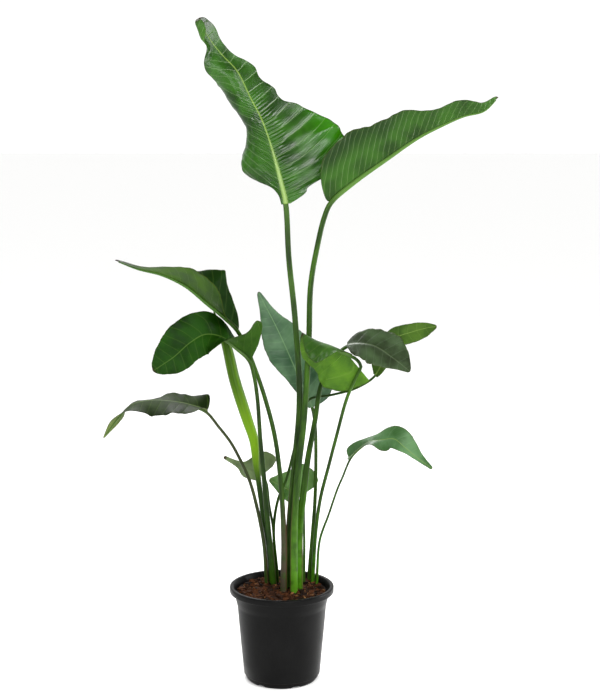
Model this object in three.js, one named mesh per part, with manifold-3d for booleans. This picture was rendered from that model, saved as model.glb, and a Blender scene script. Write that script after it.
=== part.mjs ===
// Potted bird of paradise: a plastic nursery pot filled with potting mix, and one clump of
// thirteen leaves, twelve of them open and the newest still rolled up.
// Units are millimetres and +Z is up. The origin is on the surface that the pot stands on, on
// the pot's axis. The front of the plant faces -Y.

import * as THREE from 'three';
import { mergeVertices } from 'three/addons/utils/BufferGeometryUtils.js';
import Module from 'manifold-3d';

const wasm = await Module();
wasm.setup();

// Pot
const POT_SIDES = 42;
const WALL = 1.6;
const BASE_DISC_RADIUS = 28;
const FOOT_RING = { inner: 74, outer: 80 };
const RAISED_FLOOR = 4;
const FLOOR_THICKNESS = 2;
const RIM_RADIUS = 120;
const RIM_TOP = 222;
const OUTER_WALL = [
  [FOOT_RING.outer, 0],
  [84, 6],
  [84.6, 12],
  [88, 14],
  [95, 88],
  [102.3, 172],
  [103, 178],
  [106, 189],
  [107.8, 207],
];
const RIM = [
  [RIM_RADIUS - 1, 207.6],
  [RIM_RADIUS, 210],
  [RIM_RADIUS, 219],
  [RIM_RADIUS - 2, RIM_TOP],
  [113, RIM_TOP],
  [110.5, 219.5],
];
const DRAIN_HOLES = { count: 6, radius: 6, ring: 54 };
const DRAIN_NOTCHES = { count: 6, width: 22, height: 5.5, inset: 3, turn: 24, depth: 20 };
const NOTCH_START = FOOT_RING.outer - 12;
const FLOOR_SLOPE = 3;
const CORNER_FILLET = 4;

// Potting mix
const MIX_LEVEL = 202;
const MIX_RINGS = 7;
const MIX_CLEARANCE = 0.4;
const HOLE_CLEARANCE = 0.4;
const HOLE_SPARE_DEPTH = 1;

// Stalks and midribs
const STALK_SIDES = 8;
const STALK_STEPS = 10;
const STALK_TAPER = 1.5;
const RIB_TAPER = 0.8;
const RIB_TIP = [1, 1.6];
const GROOVE_DEPTH = 0.12;

// Blades
const BLADE_THICKNESS = 1;
const BLADE_GAP = 0.4;
const BLADE_ROWS = 14;
const BLADE_COLUMNS = [0.24, 0.5, 0.76, 1];
const STRIP_MARGIN = 0.8;
const NARROWEST = 1.5;
const ROW_CROWDING = 0.1;
const LOBE_END = 0.3;

// Sampling of the spines
const SPAN_SAMPLES = 40;
const FRAME_REACH = 6;
const WELD_DISTANCE = 1e-4;

// One entry for each open leaf. The spine runs from inside the potting mix, up the stalk and
// along the midrib to the tip; blade.from is the spine point where the blade begins. foot and
// neck are the stalk's half width and depth at the mix and at the blade. face is the way that
// the upper surface looks. left and right are the halves of the blade as seen on the upper
// surface with the tip up: outline is the half's width, fold is the angle that it stands up
// from flat, in degrees, and curl is the further turn by its margin. Lists of pairs are values
// keyed by the place along the blade, from 0 at its base to 1 at its tip. lobe is how far the
// half's base reaches back past the place where the blade begins. wave is the ripple of the
// margins: its height, how many times it comes, and where it starts.
const LEAVES = [
  {
    name: 'tall_left_leaf',
    spine: [[14, 12, 152], [16, 11, 260], [19, 9, 374], [31, 4, 517], [41, 0, 657], [31, 0, 841],
      [17, 4, 980], [10, 6, 1101], [-2, 8, 1154], [-20, 14, 1220], [-42, 24, 1283],
      [-69, 34, 1335], [-98, 44, 1392], [-131, 50, 1427], [-157, 52, 1460], [-184, 46, 1506]],
    foot: [9, 16],
    neck: [6.2, 11],
    blade: {
      from: 7,
      face: [[0, [0.1, -1, 0.2]], [1, [0.2, -1, 0.2]]],
      left: {
        lobe: 0,
        outline: [[0, 10], [0.06, 15], [0.1, 28], [0.14, 56], [0.2, 84], [0.28, 92], [0.36, 79],
          [0.43, 63], [0.6, 71], [0.76, 58], [0.81, 46], [0.865, 22], [0.92, 46], [1, 38]],
        fold: [[0, -10], [0.28, -6], [0.42, 22], [0.8, 26], [0.88, 0], [1, -10]],
        curl: [[0, -20], [0.26, -60], [0.38, -150], [0.6, -140], [0.78, -90], [0.86, 20],
          [0.92, 190], [1, 250]],
      },
      right: {
        lobe: 16,
        outline: [[0, 10], [0.04, 48], [0.06, 56], [0.1, 108], [0.2, 158], [0.3, 148], [0.42, 86],
          [0.46, 60], [0.53, 56], [0.61, 38], [0.66, 38], [0.74, 21], [0.84, 19], [0.93, 24],
          [1, 14]],
        fold: 6,
        curl: 6,
      },
      wave: { height: 6, count: 4, start: 0.2 },
    },
  },
  {
    name: 'tall_right_leaf',
    spine: [[29, -11, 152], [29, -11, 260], [30, -11, 368], [37, -12, 486], [51, -16, 615],
      [62, -20, 799], [66, -20, 923], [80, -18, 1007], [96, -16, 1074], [110, -14, 1105],
      [160, -6, 1148], [233, 4, 1199], [305, 14, 1247], [353, 20, 1271], [405, 26, 1293],
      [450, 31, 1304], [482, 36, 1334]],
    foot: [10.5, 16],
    neck: [6.8, 12],
    blade: {
      from: 9,
      face: [[0, [-0.5, 0.2, 0.8]], [1, [-0.4, 0.1, 0.9]]],
      left: {
        lobe: 10,
        outline: [[0, 14], [0.1, 84], [0.25, 106], [0.5, 80], [0.75, 38], [1, 4]],
        fold: 48,
        curl: 10,
      },
      right: {
        lobe: 10,
        outline: [[0, 14], [0.04, 52], [0.1, 90], [0.2, 106], [0.38, 92], [0.53, 76], [0.66, 46],
          [0.78, 42], [0.9, 24], [1, 8]],
        fold: 62,
        curl: -8,
      },
      wave: { height: 4, count: 4, start: 0.1 },
    },
  },
  {
    name: 'upper_left_leaf',
    spine: [[3, -9, 152], [4, -9, 240], [5, -9, 331], [-1, -4, 460], [-15, 6, 572],
      [-38, 20, 660], [-59, 27, 722], [-78, 30, 770], [-101, 30, 813], [-131, 26, 843],
      [-168, 18, 875], [-214, 8, 915], [-267, 0, 942], [-320, -6, 956], [-370, -10, 976]],
    foot: [9, 15],
    neck: [5.2, 10],
    blade: {
      from: 8,
      face: [[0, [0.6, 0.1, 0.8]], [1, [0.3, 0, 1]]],
      left: {
        lobe: 6,
        outline: [[0, 8], [0.08, 24], [0.2, 62], [0.38, 98], [0.52, 102], [0.7, 60], [0.84, 38],
          [0.94, 30], [1, 14]],
        fold: [[0, -8], [0.16, 2], [0.3, 24], [0.5, 30], [1, 10]],
        curl: 0,
      },
      right: {
        lobe: 6,
        outline: [[0, 8], [0.08, 36], [0.2, 66], [0.32, 94], [0.44, 72], [0.62, 34], [0.82, 20],
          [0.94, 16], [1, 8]],
        fold: [[0, 50], [0.34, 56], [0.48, 22], [1, 4]],
        curl: 4,
      },
      wave: { height: 3, count: 3, start: 0.4 },
    },
  },
  {
    name: 'middle_left_leaf',
    spine: [[-18, 47, 152], [-24, 47, 240], [-32, 44, 340], [-41, 36, 462], [-49, 26, 559],
      [-55, 16, 656], [-62, 8, 709], [-73, 4, 747], [-102, 2, 775], [-136, -2, 801],
      [-171, -6, 808], [-205, -10, 790], [-241, -14, 759], [-288, -20, 728]],
    foot: [10.5, 14],
    neck: [4.4, 8],
    blade: {
      from: 7,
      face: [[0, [0.5, 0.4, 0.8]], [0.25, [0.2, -0.2, 1]], [0.45, [0, -0.9, 0.4]],
        [1, [0.1, -1, 0.2]]],
      left: {
        lobe: -60,
        outline: [[0, 14], [0.02, 44], [0.05, 76], [0.1, 90], [0.22, 70], [0.4, 52], [0.6, 42],
          [0.8, 38], [0.94, 20], [1, 6]],
        fold: [[0, 60], [0.25, 40], [0.5, 0], [1, 0]],
        curl: 0,
      },
      right: {
        lobe: 0,
        outline: [[0, 8], [0.1, 12], [0.2, 34], [0.34, 44], [0.5, 56], [0.66, 56], [0.85, 42],
          [0.96, 20], [1, 6]],
        fold: [[0, 20], [0.25, 12], [0.5, 5], [1, 0]],
        curl: 0,
      },
      wave: { height: 2, count: 3, start: 0 },
    },
  },
  {
    name: 'lowest_left_leaf',
    spine: [[-32, 56, 152], [-36, 53, 225], [-41, 50, 302], [-56, 44, 388], [-73, 36, 457],
      [-97, 28, 516], [-117, 22, 555], [-143, 14, 592], [-171, 6, 628], [-207, 0, 644],
      [-249, -8, 654], [-296, -16, 658], [-338, -24, 649], [-370, -32, 618], [-399, -40, 578]],
    foot: [9, 12],
    neck: [3.8, 7],
    blade: {
      from: 8,
      face: [[0, [0.2, -0.1, 1]], [0.6, [0, -0.1, 1]], [1, [-0.6, 0.5, 0.4]]],
      left: {
        lobe: 12,
        outline: [[0, 7], [0.08, 34], [0.2, 56], [0.46, 62], [0.6, 44], [0.72, 34], [0.85, 32],
          [0.94, 20], [1, 5]],
        fold: [[0, 45], [0.14, 0], [0.4, -14], [0.6, -14], [0.8, 10], [1, 10]],
        curl: -6,
      },
      right: {
        lobe: 12,
        outline: [[0, 9], [0.05, 44], [0.15, 40], [0.32, 38], [0.5, 32], [0.7, 36], [0.86, 28],
          [1, 4]],
        fold: [[0, 50], [0.1, 20], [0.32, 10], [0.42, -16], [1, -12]],
        curl: 0,
      },
      wave: { height: 3, count: 3, start: 0.3 },
    },
  },
  {
    name: 'rear_upright_leaf',
    spine: [[60, 72, 152], [65, 73, 240], [72, 74, 332], [77, 80, 402], [79, 90, 520],
      [77, 98, 578], [70, 100, 620], [42, 104, 683], [-4, 106, 789], [-54, 100, 890]],
    foot: [5, 9],
    neck: [4, 7],
    blade: {
      from: 6,
      face: [[0, [0, -1, 0.3]], [1, [0.1, -1, 0.2]]],
      left: {
        lobe: 8,
        outline: [[0, 8], [0.1, 16], [0.27, 28], [0.46, 46], [0.64, 43], [0.84, 20], [1, 4]],
        fold: 0,
        curl: -10,
      },
      right: {
        lobe: 8,
        outline: [[0, 10], [0.04, 46], [0.12, 66], [0.26, 65], [0.45, 56], [0.62, 43], [0.8, 17],
          [1, 4]],
        fold: 0,
        curl: -10,
      },
      wave: { height: 2, count: 2, start: 0 },
    },
  },
  {
    name: 'middle_centre_leaf',
    spine: [[68, 60, 152], [73, 56, 240], [79, 48, 339], [89, 30, 419], [107, 4, 501],
      [125, -26, 582], [143, -55, 661], [154, -64, 695], [169, -70, 730], [177, -70, 747],
      [168, -67, 762], [156, -65, 769], [142, -63, 775], [109, -58, 788], [75, -54, 801],
      [46, -52, 819]],
    foot: [4.6, 8],
    neck: [3.8, 7],
    blade: {
      from: 11,
      face: [[0, [0, 1, 0]], [1, [0, 1, 0.1]]],
      left: {
        lobe: 0,
        outline: [[0, 6], [0.11, 8], [0.24, 18], [0.4, 62], [0.55, 78], [0.75, 62], [0.91, 28],
          [1, 5]],
        fold: -66,
        curl: [[0, -20], [0.22, -60], [0.56, -120], [1, -100]],
      },
      right: {
        lobe: 195,
        outline: [[0, 34], [0.05, 46], [0.1, 62], [0.16, 84], [0.22, 96], [0.36, 92], [0.51, 70],
          [0.75, 52], [0.91, 26], [1, 5]],
        fold: 15,
        curl: 0,
      },
      wave: { height: 2, count: 3, start: 0 },
    },
  },
  {
    name: 'middle_right_leaf',
    spine: [[36, 8, 152], [38, 6, 250], [40, 4, 352], [49, -2, 429], [60, -6, 520],
      [76, -8, 610], [89, -10, 691], [114, -16, 748], [149, -29, 786], [202, -46, 789],
      [246, -56, 764], [286, -62, 734]],
    foot: [12.5, 16],
    neck: [4.6, 8],
    blade: {
      from: 8,
      face: [[0, [0, -0.35, 0.9]], [1, [0.3, -0.5, 0.8]]],
      left: {
        lobe: 6,
        outline: [[0, 8], [0.1, 32], [0.24, 46], [0.45, 56], [0.64, 58], [0.82, 40], [0.94, 18],
          [1, 5]],
        fold: 14,
        curl: 0,
      },
      right: {
        lobe: 6,
        outline: [[0, 8], [0.12, 36], [0.3, 50], [0.46, 54], [0.62, 44], [0.8, 24], [1, 5]],
        fold: -10,
        curl: -4,
      },
      wave: { height: 2, count: 3, start: 0.5 },
    },
  },
  {
    name: 'far_right_leaf',
    spine: [[-6, 66, 152], [-12, 64, 240], [-19, 62, 338], [-9, 60, 408], [10, 56, 457],
      [26, 50, 520], [44, 44, 601], [63, 38, 650], [115, 30, 663], [168, 20, 680],
      [213, 10, 712], [238, 6, 764], [262, 2, 800], [292, 0, 812], [330, -2, 823],
      [349, -4, 826]],
    foot: [4, 7],
    neck: [2.8, 5],
    blade: {
      from: 10,
      face: [[0, [-0.3, -0.8, 0.5]], [1, [-0.2, -0.8, 0.6]]],
      left: {
        lobe: 6,
        outline: [[0, 6], [0.12, 22], [0.35, 30], [0.6, 23], [0.82, 17], [1, 4]],
        fold: 8,
        curl: 0,
      },
      right: {
        lobe: 0,
        outline: [[0, 8], [0.12, 14], [0.3, 22], [0.5, 26], [0.7, 28], [0.86, 22], [0.95, 12],
          [1, 4]],
        fold: 4,
        curl: 0,
      },
      wave: { height: 1, count: 2, start: 0 },
    },
  },
  {
    name: 'lower_right_leaf',
    spine: [[78, 50, 152], [82, 48, 230], [88, 44, 316], [108, 38, 378], [129, 28, 445],
      [139, 20, 471], [157, 12, 517], [174, 8, 538], [199, 2, 558], [228, -6, 565],
      [255, -14, 569], [277, -22, 553], [304, -26, 531], [341, -28, 504]],
    foot: [4, 7],
    neck: [2.8, 5],
    blade: {
      from: 6,
      face: [[0, [-0.6, -0.2, 0.8]], [0.25, [-0.2, -0.2, 1]], [0.45, [0.1, -0.7, 0.7]],
        [1, [0.3, -0.7, 0.6]]],
      left: {
        lobe: 10,
        outline: [[0, 6], [0.05, 26], [0.14, 26], [0.28, 18], [0.4, 26], [0.54, 36], [0.7, 30],
          [0.86, 14], [1, 4]],
        fold: [[0, 30], [0.25, 10], [0.45, 4], [1, 0]],
        curl: 0,
      },
      right: {
        lobe: 10,
        outline: [[0, 6], [0.05, 28], [0.14, 26], [0.28, 18], [0.4, 32], [0.54, 28], [0.7, 12],
          [1, 4]],
        fold: [[0, 30], [0.25, 8], [0.45, 0], [1, 0]],
        curl: 0,
      },
      wave: { height: 2, count: 2, start: 0 },
    },
  },
  {
    name: 'small_rear_leaf',
    spine: [[-16, 82, 152], [-18, 80, 240], [-21, 78, 335], [-30, 80, 391], [-37, 84, 445],
      [-47, 90, 460], [-87, 96, 478], [-136, 100, 501]],
    foot: [4, 7],
    neck: [2.8, 5],
    blade: {
      from: 5,
      face: [[0, [0, -1, 0.3]], [1, [0, -1, 0.3]]],
      left: {
        lobe: 26,
        outline: [[0, 8], [0.15, 20], [0.4, 22], [0.6, 10], [1, 4]],
        fold: 0,
        curl: 0,
      },
      right: {
        lobe: 26,
        outline: [[0, 10], [0.05, 46], [0.14, 54], [0.3, 40], [0.5, 12], [0.7, 6], [1, 4]],
        fold: 0,
        curl: -10,
      },
      wave: { height: 1, count: 2, start: 0 },
    },
  },
  {
    name: 'small_round_leaf',
    spine: [[50, 50, 152], [51, 54, 225], [52, 64, 300], [51, 76, 354], [50, 88, 390],
      [42, 94, 408], [9, 100, 425], [-30, 104, 446]],
    foot: [3.8, 7],
    neck: [2.8, 5],
    blade: {
      from: 5,
      face: [[0, [0, -1, 0.2]], [1, [0, -1, 0.2]]],
      left: {
        lobe: 28,
        outline: [[0, 8], [0.1, 24], [0.4, 24], [0.7, 14], [1, 4]],
        fold: 0,
        curl: 0,
      },
      right: {
        lobe: 28,
        outline: [[0, 12], [0.03, 48], [0.1, 64], [0.25, 70], [0.4, 66], [0.6, 44], [0.82, 22],
          [1, 4]],
        fold: 0,
        curl: 0,
      },
      wave: { height: 1, count: 2, start: 0 },
    },
  },
];

// The newest leaf: its blade is rolled on itself, so stalk and blade are one piece. girth is
// the radius keyed by the place along the spine. rollFrom is where the outer margin's step comes
// up, and rollStep is the step's height as a share of the radius.
const ROLLED_LEAF = {
  name: 'rolled_young_leaf',
  spine: [[-30, 72, 152], [-36, 68, 250], [-44, 64, 359], [-53, 60, 444], [-59, 58, 490],
    [-64, 58, 551], [-78, 60, 597], [-107, 66, 690], [-126, 70, 771], [-155, 72, 849]],
  face: [0.3, -1, 0.2],
  girth: [[0, 6], [0.3, 5], [0.46, 7], [0.56, 13], [0.68, 15.5], [0.86, 14], [0.95, 8], [1, 1.5]],
  rollStep: 0.24,
  rollFrom: [0.4, 0.55],
  sides: 12,
  steps: 30,
};

/** Value at a place, straight between keys [place, value]; a value is a number or a vector. */
function keyed(keys, place) {
  if (typeof keys === 'number') {
    return keys;
  }
  const after = keys.findIndex((key) => key[0] >= place);
  if (after <= 0) {
    return after === 0 ? keys[0][1] : keys[keys.length - 1][1];
  }
  const [start, from] = keys[after - 1];
  const [end, to] = keys[after];
  const share = (place - start) / (end - start);
  if (typeof from === 'number') {
    return from + (to - from) * share;
  }
  return from.map((value, axis) => value + (to[axis] - value) * share);
}

/** A smooth curve through the spine's points, read by the length along it. */
class Spine {
  constructor(points) {
    const corners = points.map((corner) => new THREE.Vector3(...corner));
    const curve = new THREE.CatmullRomCurve3(corners, false, 'centripetal');
    this.samples = curve.getPoints(SPAN_SAMPLES * (points.length - 1));
    this.lengths = [0];
    for (let i = 1; i < this.samples.length; i += 1) {
      this.lengths.push(this.lengths[i - 1] + this.samples[i].distanceTo(this.samples[i - 1]));
    }
    this.length = this.lengths[this.lengths.length - 1];
  }

  /** Length along the curve at which it passes the given point of its list. */
  lengthAt(index) {
    return this.lengths[index * SPAN_SAMPLES];
  }

  /** Point at a length along the curve; beyond either end it runs on straight. */
  point(length) {
    const found = this.lengths.findIndex((value) => value >= length);
    const after = Math.max(found < 0 ? this.lengths.length - 1 : found, 1);
    const start = this.lengths[after - 1];
    const share = (length - start) / (this.lengths[after] - start);
    return new THREE.Vector3().lerpVectors(this.samples[after - 1], this.samples[after], share);
  }

  /** Point and axes at a length: along the spine, up from the leaf's face, and across to its right. */
  frame(length, face) {
    const along = this.point(length + FRAME_REACH).sub(this.point(length - FRAME_REACH));
    along.normalize();
    const up = new THREE.Vector3(...face);
    up.addScaledVector(along, -up.dot(along)).normalize();
    const across = new THREE.Vector3().crossVectors(along, up);
    return { origin: this.point(length), along, up, across };
  }
}

/** Places along a blade from 0 to 1, closer together at its base and tip. */
function bladeStations() {
  return Array.from({ length: BLADE_ROWS + 1 }, (_, row) => {
    const even = row / BLADE_ROWS;
    return even - ROW_CROWDING * Math.sin(2 * Math.PI * even);
  });
}

/** Half width and depth of a leaf's stalk (place 0 to 1) or of its midrib (place 1 to 2). */
function stalkSize(leaf, place) {
  return [0, 1].map((i) => {
    if (place <= 1) {
      return leaf.neck[i] + (leaf.foot[i] - leaf.neck[i]) * (1 - place) ** STALK_TAPER;
    }
    return RIB_TIP[i] + (leaf.neck[i] - RIB_TIP[i]) * (2 - place) ** RIB_TAPER;
  });
}

/** Point of a stalk's outline at an angle from its upper side: a D with a shallow groove on top. */
function stalkOutline(frame, [halfWidth, depth], angle, radius) {
  const groove = GROOVE_DEPTH * Math.max(0, Math.cos(angle)) ** 6;
  const drop = ((1 - Math.cos(angle)) / 2) ** 1.3 + groove;
  const middle = 0.5 + GROOVE_DEPTH;
  const height = (0.5 - (middle + (drop - middle) * radius)) * depth;
  return frame.origin.clone()
    .addScaledVector(frame.across, Math.sin(angle) * halfWidth * radius)
    .addScaledVector(frame.up, height);
}

/** A geometry with shared corners, each moved to where place(x, y, z) puts it. */
function reshaped(geometry, place) {
  geometry.deleteAttribute('normal');
  geometry.deleteAttribute('uv');
  const shape = mergeVertices(geometry, WELD_DISTANCE);
  const corners = shape.getAttribute('position');
  for (let i = 0; i < corners.count; i += 1) {
    const moved = place(corners.getX(i), corners.getY(i), corners.getZ(i));
    corners.setXYZ(i, moved.x, moved.y, moved.z);
  }
  shape.computeVertexNormals();
  return shape;
}

/** A closed tube of rings: outline(ring, angle, radius) gives its points, radius 0 its centre. */
function tube(sides, rings, outline) {
  const cylinder = new THREE.CylinderGeometry(1, 1, 1, sides, rings);
  return reshaped(cylinder, (x, y, z) => {
    const ring = Math.round((y + 0.5) * rings);
    return outline(ring, Math.atan2(x, z), Math.round(Math.hypot(x, z)));
  });
}

/** Lengths along the spine at which a leaf's stalk has its rings, and their places from 0 to 2. */
function stalkRings(leaf, spine) {
  const neck = spine.lengthAt(leaf.blade.from);
  const below = Array.from({ length: STALK_STEPS }, (_, i) => {
    const place = i / STALK_STEPS;
    return { length: neck * place, place, face: leaf.blade.face[0][1] };
  });
  const beside = bladeStations().slice(0, -1).map((s) => ({
    length: neck + (spine.length - neck) * s,
    place: 1 + s,
    face: keyed(leaf.blade.face, s),
  }));
  return [...below, ...beside];
}

/** A leaf's stalk and midrib; grow widens it all round, for the hole that it stands in. */
function stalkGeometry(leaf, grow = 0) {
  const spine = new Spine(leaf.spine);
  const rings = stalkRings(leaf, spine);
  const frames = rings.map(({ length, face }) => spine.frame(length, face));
  return tube(STALK_SIDES, rings.length - 1, (ring, angle, radius) => {
    const [halfWidth, depth] = stalkSize(leaf, rings[ring].place);
    return stalkOutline(frames[ring], [halfWidth + grow, depth + 2 * grow], angle, radius);
  });
}

/** Half of a blade in section: how far across and up it is at a run out from the midrib's strip. */
function foldedSection(half, place, width, run) {
  const fold = THREE.MathUtils.degToRad(keyed(half.fold, place));
  const bend = THREE.MathUtils.degToRad(keyed(half.curl, place)) / width;
  if (Math.abs(bend * width) < 1e-6) {
    return [run * Math.cos(fold), run * Math.sin(fold)];
  }
  const turn = fold + bend * run;
  return [(Math.sin(turn) - Math.sin(fold)) / bend, (Math.cos(fold) - Math.cos(turn)) / bend];
}

/** Greatest width in a half's outline. */
function widest(half) {
  return Math.max(...half.outline.map(([, width]) => width));
}

/** Value at a place on the smooth curve through keys [place, value]. */
function smoothKeyed(keys, place) {
  const after = Math.max(1, keys.findIndex((key) => key[0] >= place));
  const slope = (i) => {
    const [before, next] = [keys[Math.max(i - 1, 0)], keys[Math.min(i + 1, keys.length - 1)]];
    return (next[1] - before[1]) / (next[0] - before[0]);
  };
  const [[start, from], [end, to]] = [keys[after - 1], keys[after]];
  const step = end - start;
  const share = (place - start) / step;
  const [square, cube] = [share ** 2, share ** 3];
  return from * (2 * cube - 3 * square + 1) + to * (3 * square - 2 * cube)
    + step * (slope(after - 1) * (cube - 2 * square + share) + slope(after) * (cube - square));
}

/** Middle surface of a blade, as rows of points from its left margin to its right one. */
function bladeRows(leaf) {
  const spine = new Spine(leaf.spine);
  const neck = spine.lengthAt(leaf.blade.from);
  const bladeLength = spine.length - neck;
  const { face, wave } = leaf.blade;
  return bladeStations().map((place) => {
    const length = neck + bladeLength * place;
    const [ribHalfWidth, ribDepth] = stalkSize(leaf, 1 + place);
    const strip = ribHalfWidth + STRIP_MARGIN;
    const rise = ribDepth / 2 + BLADE_GAP + BLADE_THICKNESS / 2;
    const axes = spine.frame(length, keyed(face, place));
    const point = (half, sign, share) => {
      const width = Math.max(smoothKeyed(half.outline, place), strip + NARROWEST);
      const run = (width - strip) * share;
      const [across, up] = foldedSection(half, place, width - strip, run);
      const reach = run / widest(half);
      const back = half.lobe * Math.max(0, 1 - place / LOBE_END) ** 2 * reach;
      const phase = 2 * Math.PI * (wave.count * place + wave.start);
      const ripple = wave.height * reach ** 2 * Math.sin(phase);
      return axes.origin.clone()
        .addScaledVector(axes.across, sign * (strip + across))
        .addScaledVector(axes.up, rise + up + ripple)
        .addScaledVector(axes.along, -back);
    };
    const outward = [0, ...BLADE_COLUMNS];
    const left = outward.map((share) => point(leaf.blade.left, -1, share)).reverse();
    const right = outward.map((share) => point(leaf.blade.right, 1, share));
    return [...left, ...right];
  });
}

/** A closed sheet of even thickness round rows of points, split alike on both of its faces. */
function sheetGeometry(rows, thickness) {
  const columns = rows[0].length;
  const last = rows.length - 1;
  const corners = [];
  for (const side of [0.5, -0.5]) {
    rows.forEach((row, i) => row.forEach((point, j) => {
      const alongRow = row[Math.min(j + 1, columns - 1)].clone().sub(row[Math.max(j - 1, 0)]);
      const alongLeaf = rows[Math.min(i + 1, last)][j].clone().sub(rows[Math.max(i - 1, 0)][j]);
      const normal = new THREE.Vector3().crossVectors(alongRow, alongLeaf).normalize();
      corners.push(...point.clone().addScaledVector(normal, side * thickness).toArray());
    }));
  }
  const under = rows.length * columns;
  const at = (i, j) => i * columns + j;
  const faces = [];
  const quad = (a, b, c, d) => faces.push(a, b, c, a, c, d);
  for (let i = 0; i < last; i += 1) {
    for (let j = 0; j < columns - 1; j += 1) {
      const [a, b, c, d] = [at(i, j), at(i, j + 1), at(i + 1, j + 1), at(i + 1, j)];
      quad(a, b, c, d);
      faces.push(under + a, under + c, under + b, under + a, under + d, under + c);
    }
    const [near, far] = [at(i, 0), at(i + 1, 0)];
    const [nearRight, farRight] = [at(i, columns - 1), at(i + 1, columns - 1)];
    quad(near, far, under + far, under + near);
    quad(farRight, nearRight, under + nearRight, under + farRight);
  }
  for (let j = 0; j < columns - 1; j += 1) {
    quad(at(0, j + 1), at(0, j), under + at(0, j), under + at(0, j + 1));
    quad(at(last, j), at(last, j + 1), under + at(last, j + 1), under + at(last, j));
  }
  const sheet = new THREE.BufferGeometry();
  sheet.setAttribute('position', new THREE.Float32BufferAttribute(corners, 3));
  sheet.setIndex(faces);
  sheet.computeVertexNormals();
  return sheet;
}

/** The rolled leaf: a round stalk that swells into a roll whose outer margin stands out as a step. */
function rolledLeafGeometry(leaf, grow = 0) {
  const spine = new Spine(leaf.spine);
  return tube(leaf.sides, leaf.steps, (ring, angle, radius) => {
    const place = ring / leaf.steps;
    const axes = spine.frame(spine.length * place, leaf.face);
    const girth = keyed(leaf.girth, place) + grow;
    const rolled = THREE.MathUtils.smoothstep(place, ...leaf.rollFrom);
    const turn = (angle + Math.PI) / (2 * Math.PI);
    const reach = girth * radius * (1 - leaf.rollStep * rolled * turn);
    return axes.origin.clone()
      .addScaledVector(axes.across, Math.sin(angle) * reach)
      .addScaledVector(axes.up, Math.cos(angle) * reach);
  });
}

/** A closed geometry as a solid that can be cut. */
function solidFrom(geometry) {
  geometry.deleteAttribute('normal');
  geometry.deleteAttribute('uv');
  const merged = mergeVertices(geometry, WELD_DISTANCE);
  return new wasm.Manifold(new wasm.Mesh({
    numProp: 3,
    vertProperties: Float32Array.from(merged.getAttribute('position').array),
    triVerts: Uint32Array.from(merged.getIndex().array),
  }));
}

/** A solid as a geometry. */
function geometryFrom(solid) {
  const { vertProperties, triVerts } = solid.getMesh();
  const geometry = new THREE.BufferGeometry();
  geometry.setAttribute('position', new THREE.Float32BufferAttribute(vertProperties, 3));
  geometry.setIndex(Array.from(triVerts));
  geometry.computeVertexNormals();
  return geometry;
}

/** A profile of [radius, height] pairs turned round the Z axis. */
function turned(profile) {
  const points = profile.map(([radius, height]) => new THREE.Vector2(radius, height));
  return new THREE.LatheGeometry(points, POT_SIDES).rotateX(Math.PI / 2);
}

/** Inner face of the pot's wall, from the floor up to the rim. */
function innerWall() {
  const inside = OUTER_WALL.slice(2).map(([radius, height]) => [radius - WALL, height]);
  inside[0][1] = RAISED_FLOOR + FLOOR_THICKNESS + CORNER_FILLET;
  return inside;
}

/** The pot, with its raised floor, drain holes and notches through the foot ring. */
function potGeometry() {
  const floorTop = RAISED_FLOOR + FLOOR_THICKNESS;
  const profile = [
    [0, 0],
    [BASE_DISC_RADIUS, 0],
    [BASE_DISC_RADIUS + FLOOR_SLOPE, RAISED_FLOOR],
    [FOOT_RING.inner - FLOOR_SLOPE, RAISED_FLOOR],
    [FOOT_RING.inner, 0],
    ...OUTER_WALL,
    ...RIM,
    ...innerWall().reverse(),
    [FOOT_RING.outer - 2, floorTop],
    [BASE_DISC_RADIUS + FLOOR_SLOPE - 1, floorTop],
    [BASE_DISC_RADIUS - 1, FLOOR_THICKNESS],
    [0, FLOOR_THICKNESS],
  ];
  let pot = solidFrom(turned(profile));
  const drillSides = 12;
  for (let i = 0; i < DRAIN_HOLES.count; i += 1) {
    const { count: holes, radius, ring } = DRAIN_HOLES;
    const drill = new THREE.CylinderGeometry(radius, radius, 4 * RAISED_FLOOR, drillSides);
    drill.rotateX(Math.PI / 2);
    drill.translate(ring, 0, RAISED_FLOOR);
    drill.rotateZ((i / holes) * 2 * Math.PI);
    pot = pot.subtract(solidFrom(drill));
  }
  const { count, width, height, inset, turn, depth } = DRAIN_NOTCHES;
  const notch = new THREE.Shape([
    new THREE.Vector2(-width / 2, -1),
    new THREE.Vector2(width / 2, -1),
    new THREE.Vector2(width / 2 - inset, height),
    new THREE.Vector2(inset - width / 2, height),
  ]);
  for (let i = 0; i < count; i += 1) {
    const cutter = new THREE.ExtrudeGeometry(notch, { depth, bevelEnabled: false });
    cutter.rotateX(Math.PI / 2);
    cutter.translate(0, -NOTCH_START, 0);
    cutter.rotateZ(THREE.MathUtils.degToRad(turn) + (i / count) * 2 * Math.PI);
    pot = pot.subtract(solidFrom(cutter));
  }
  return geometryFrom(pot);
}

/** Height of the potting mix over its level at a point: low mounds with shorter lumps on them. */
function mixHeight(x, y) {
  const mounds = 2.6 * Math.sin(x / 19 + 0.7) * Math.cos(y / 23 - 0.4);
  const lumps = 1.6 * Math.sin(x / 7.3 - y / 9.1) * Math.sin(y / 6.4 + x / 15);
  return mounds + lumps;
}

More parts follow.
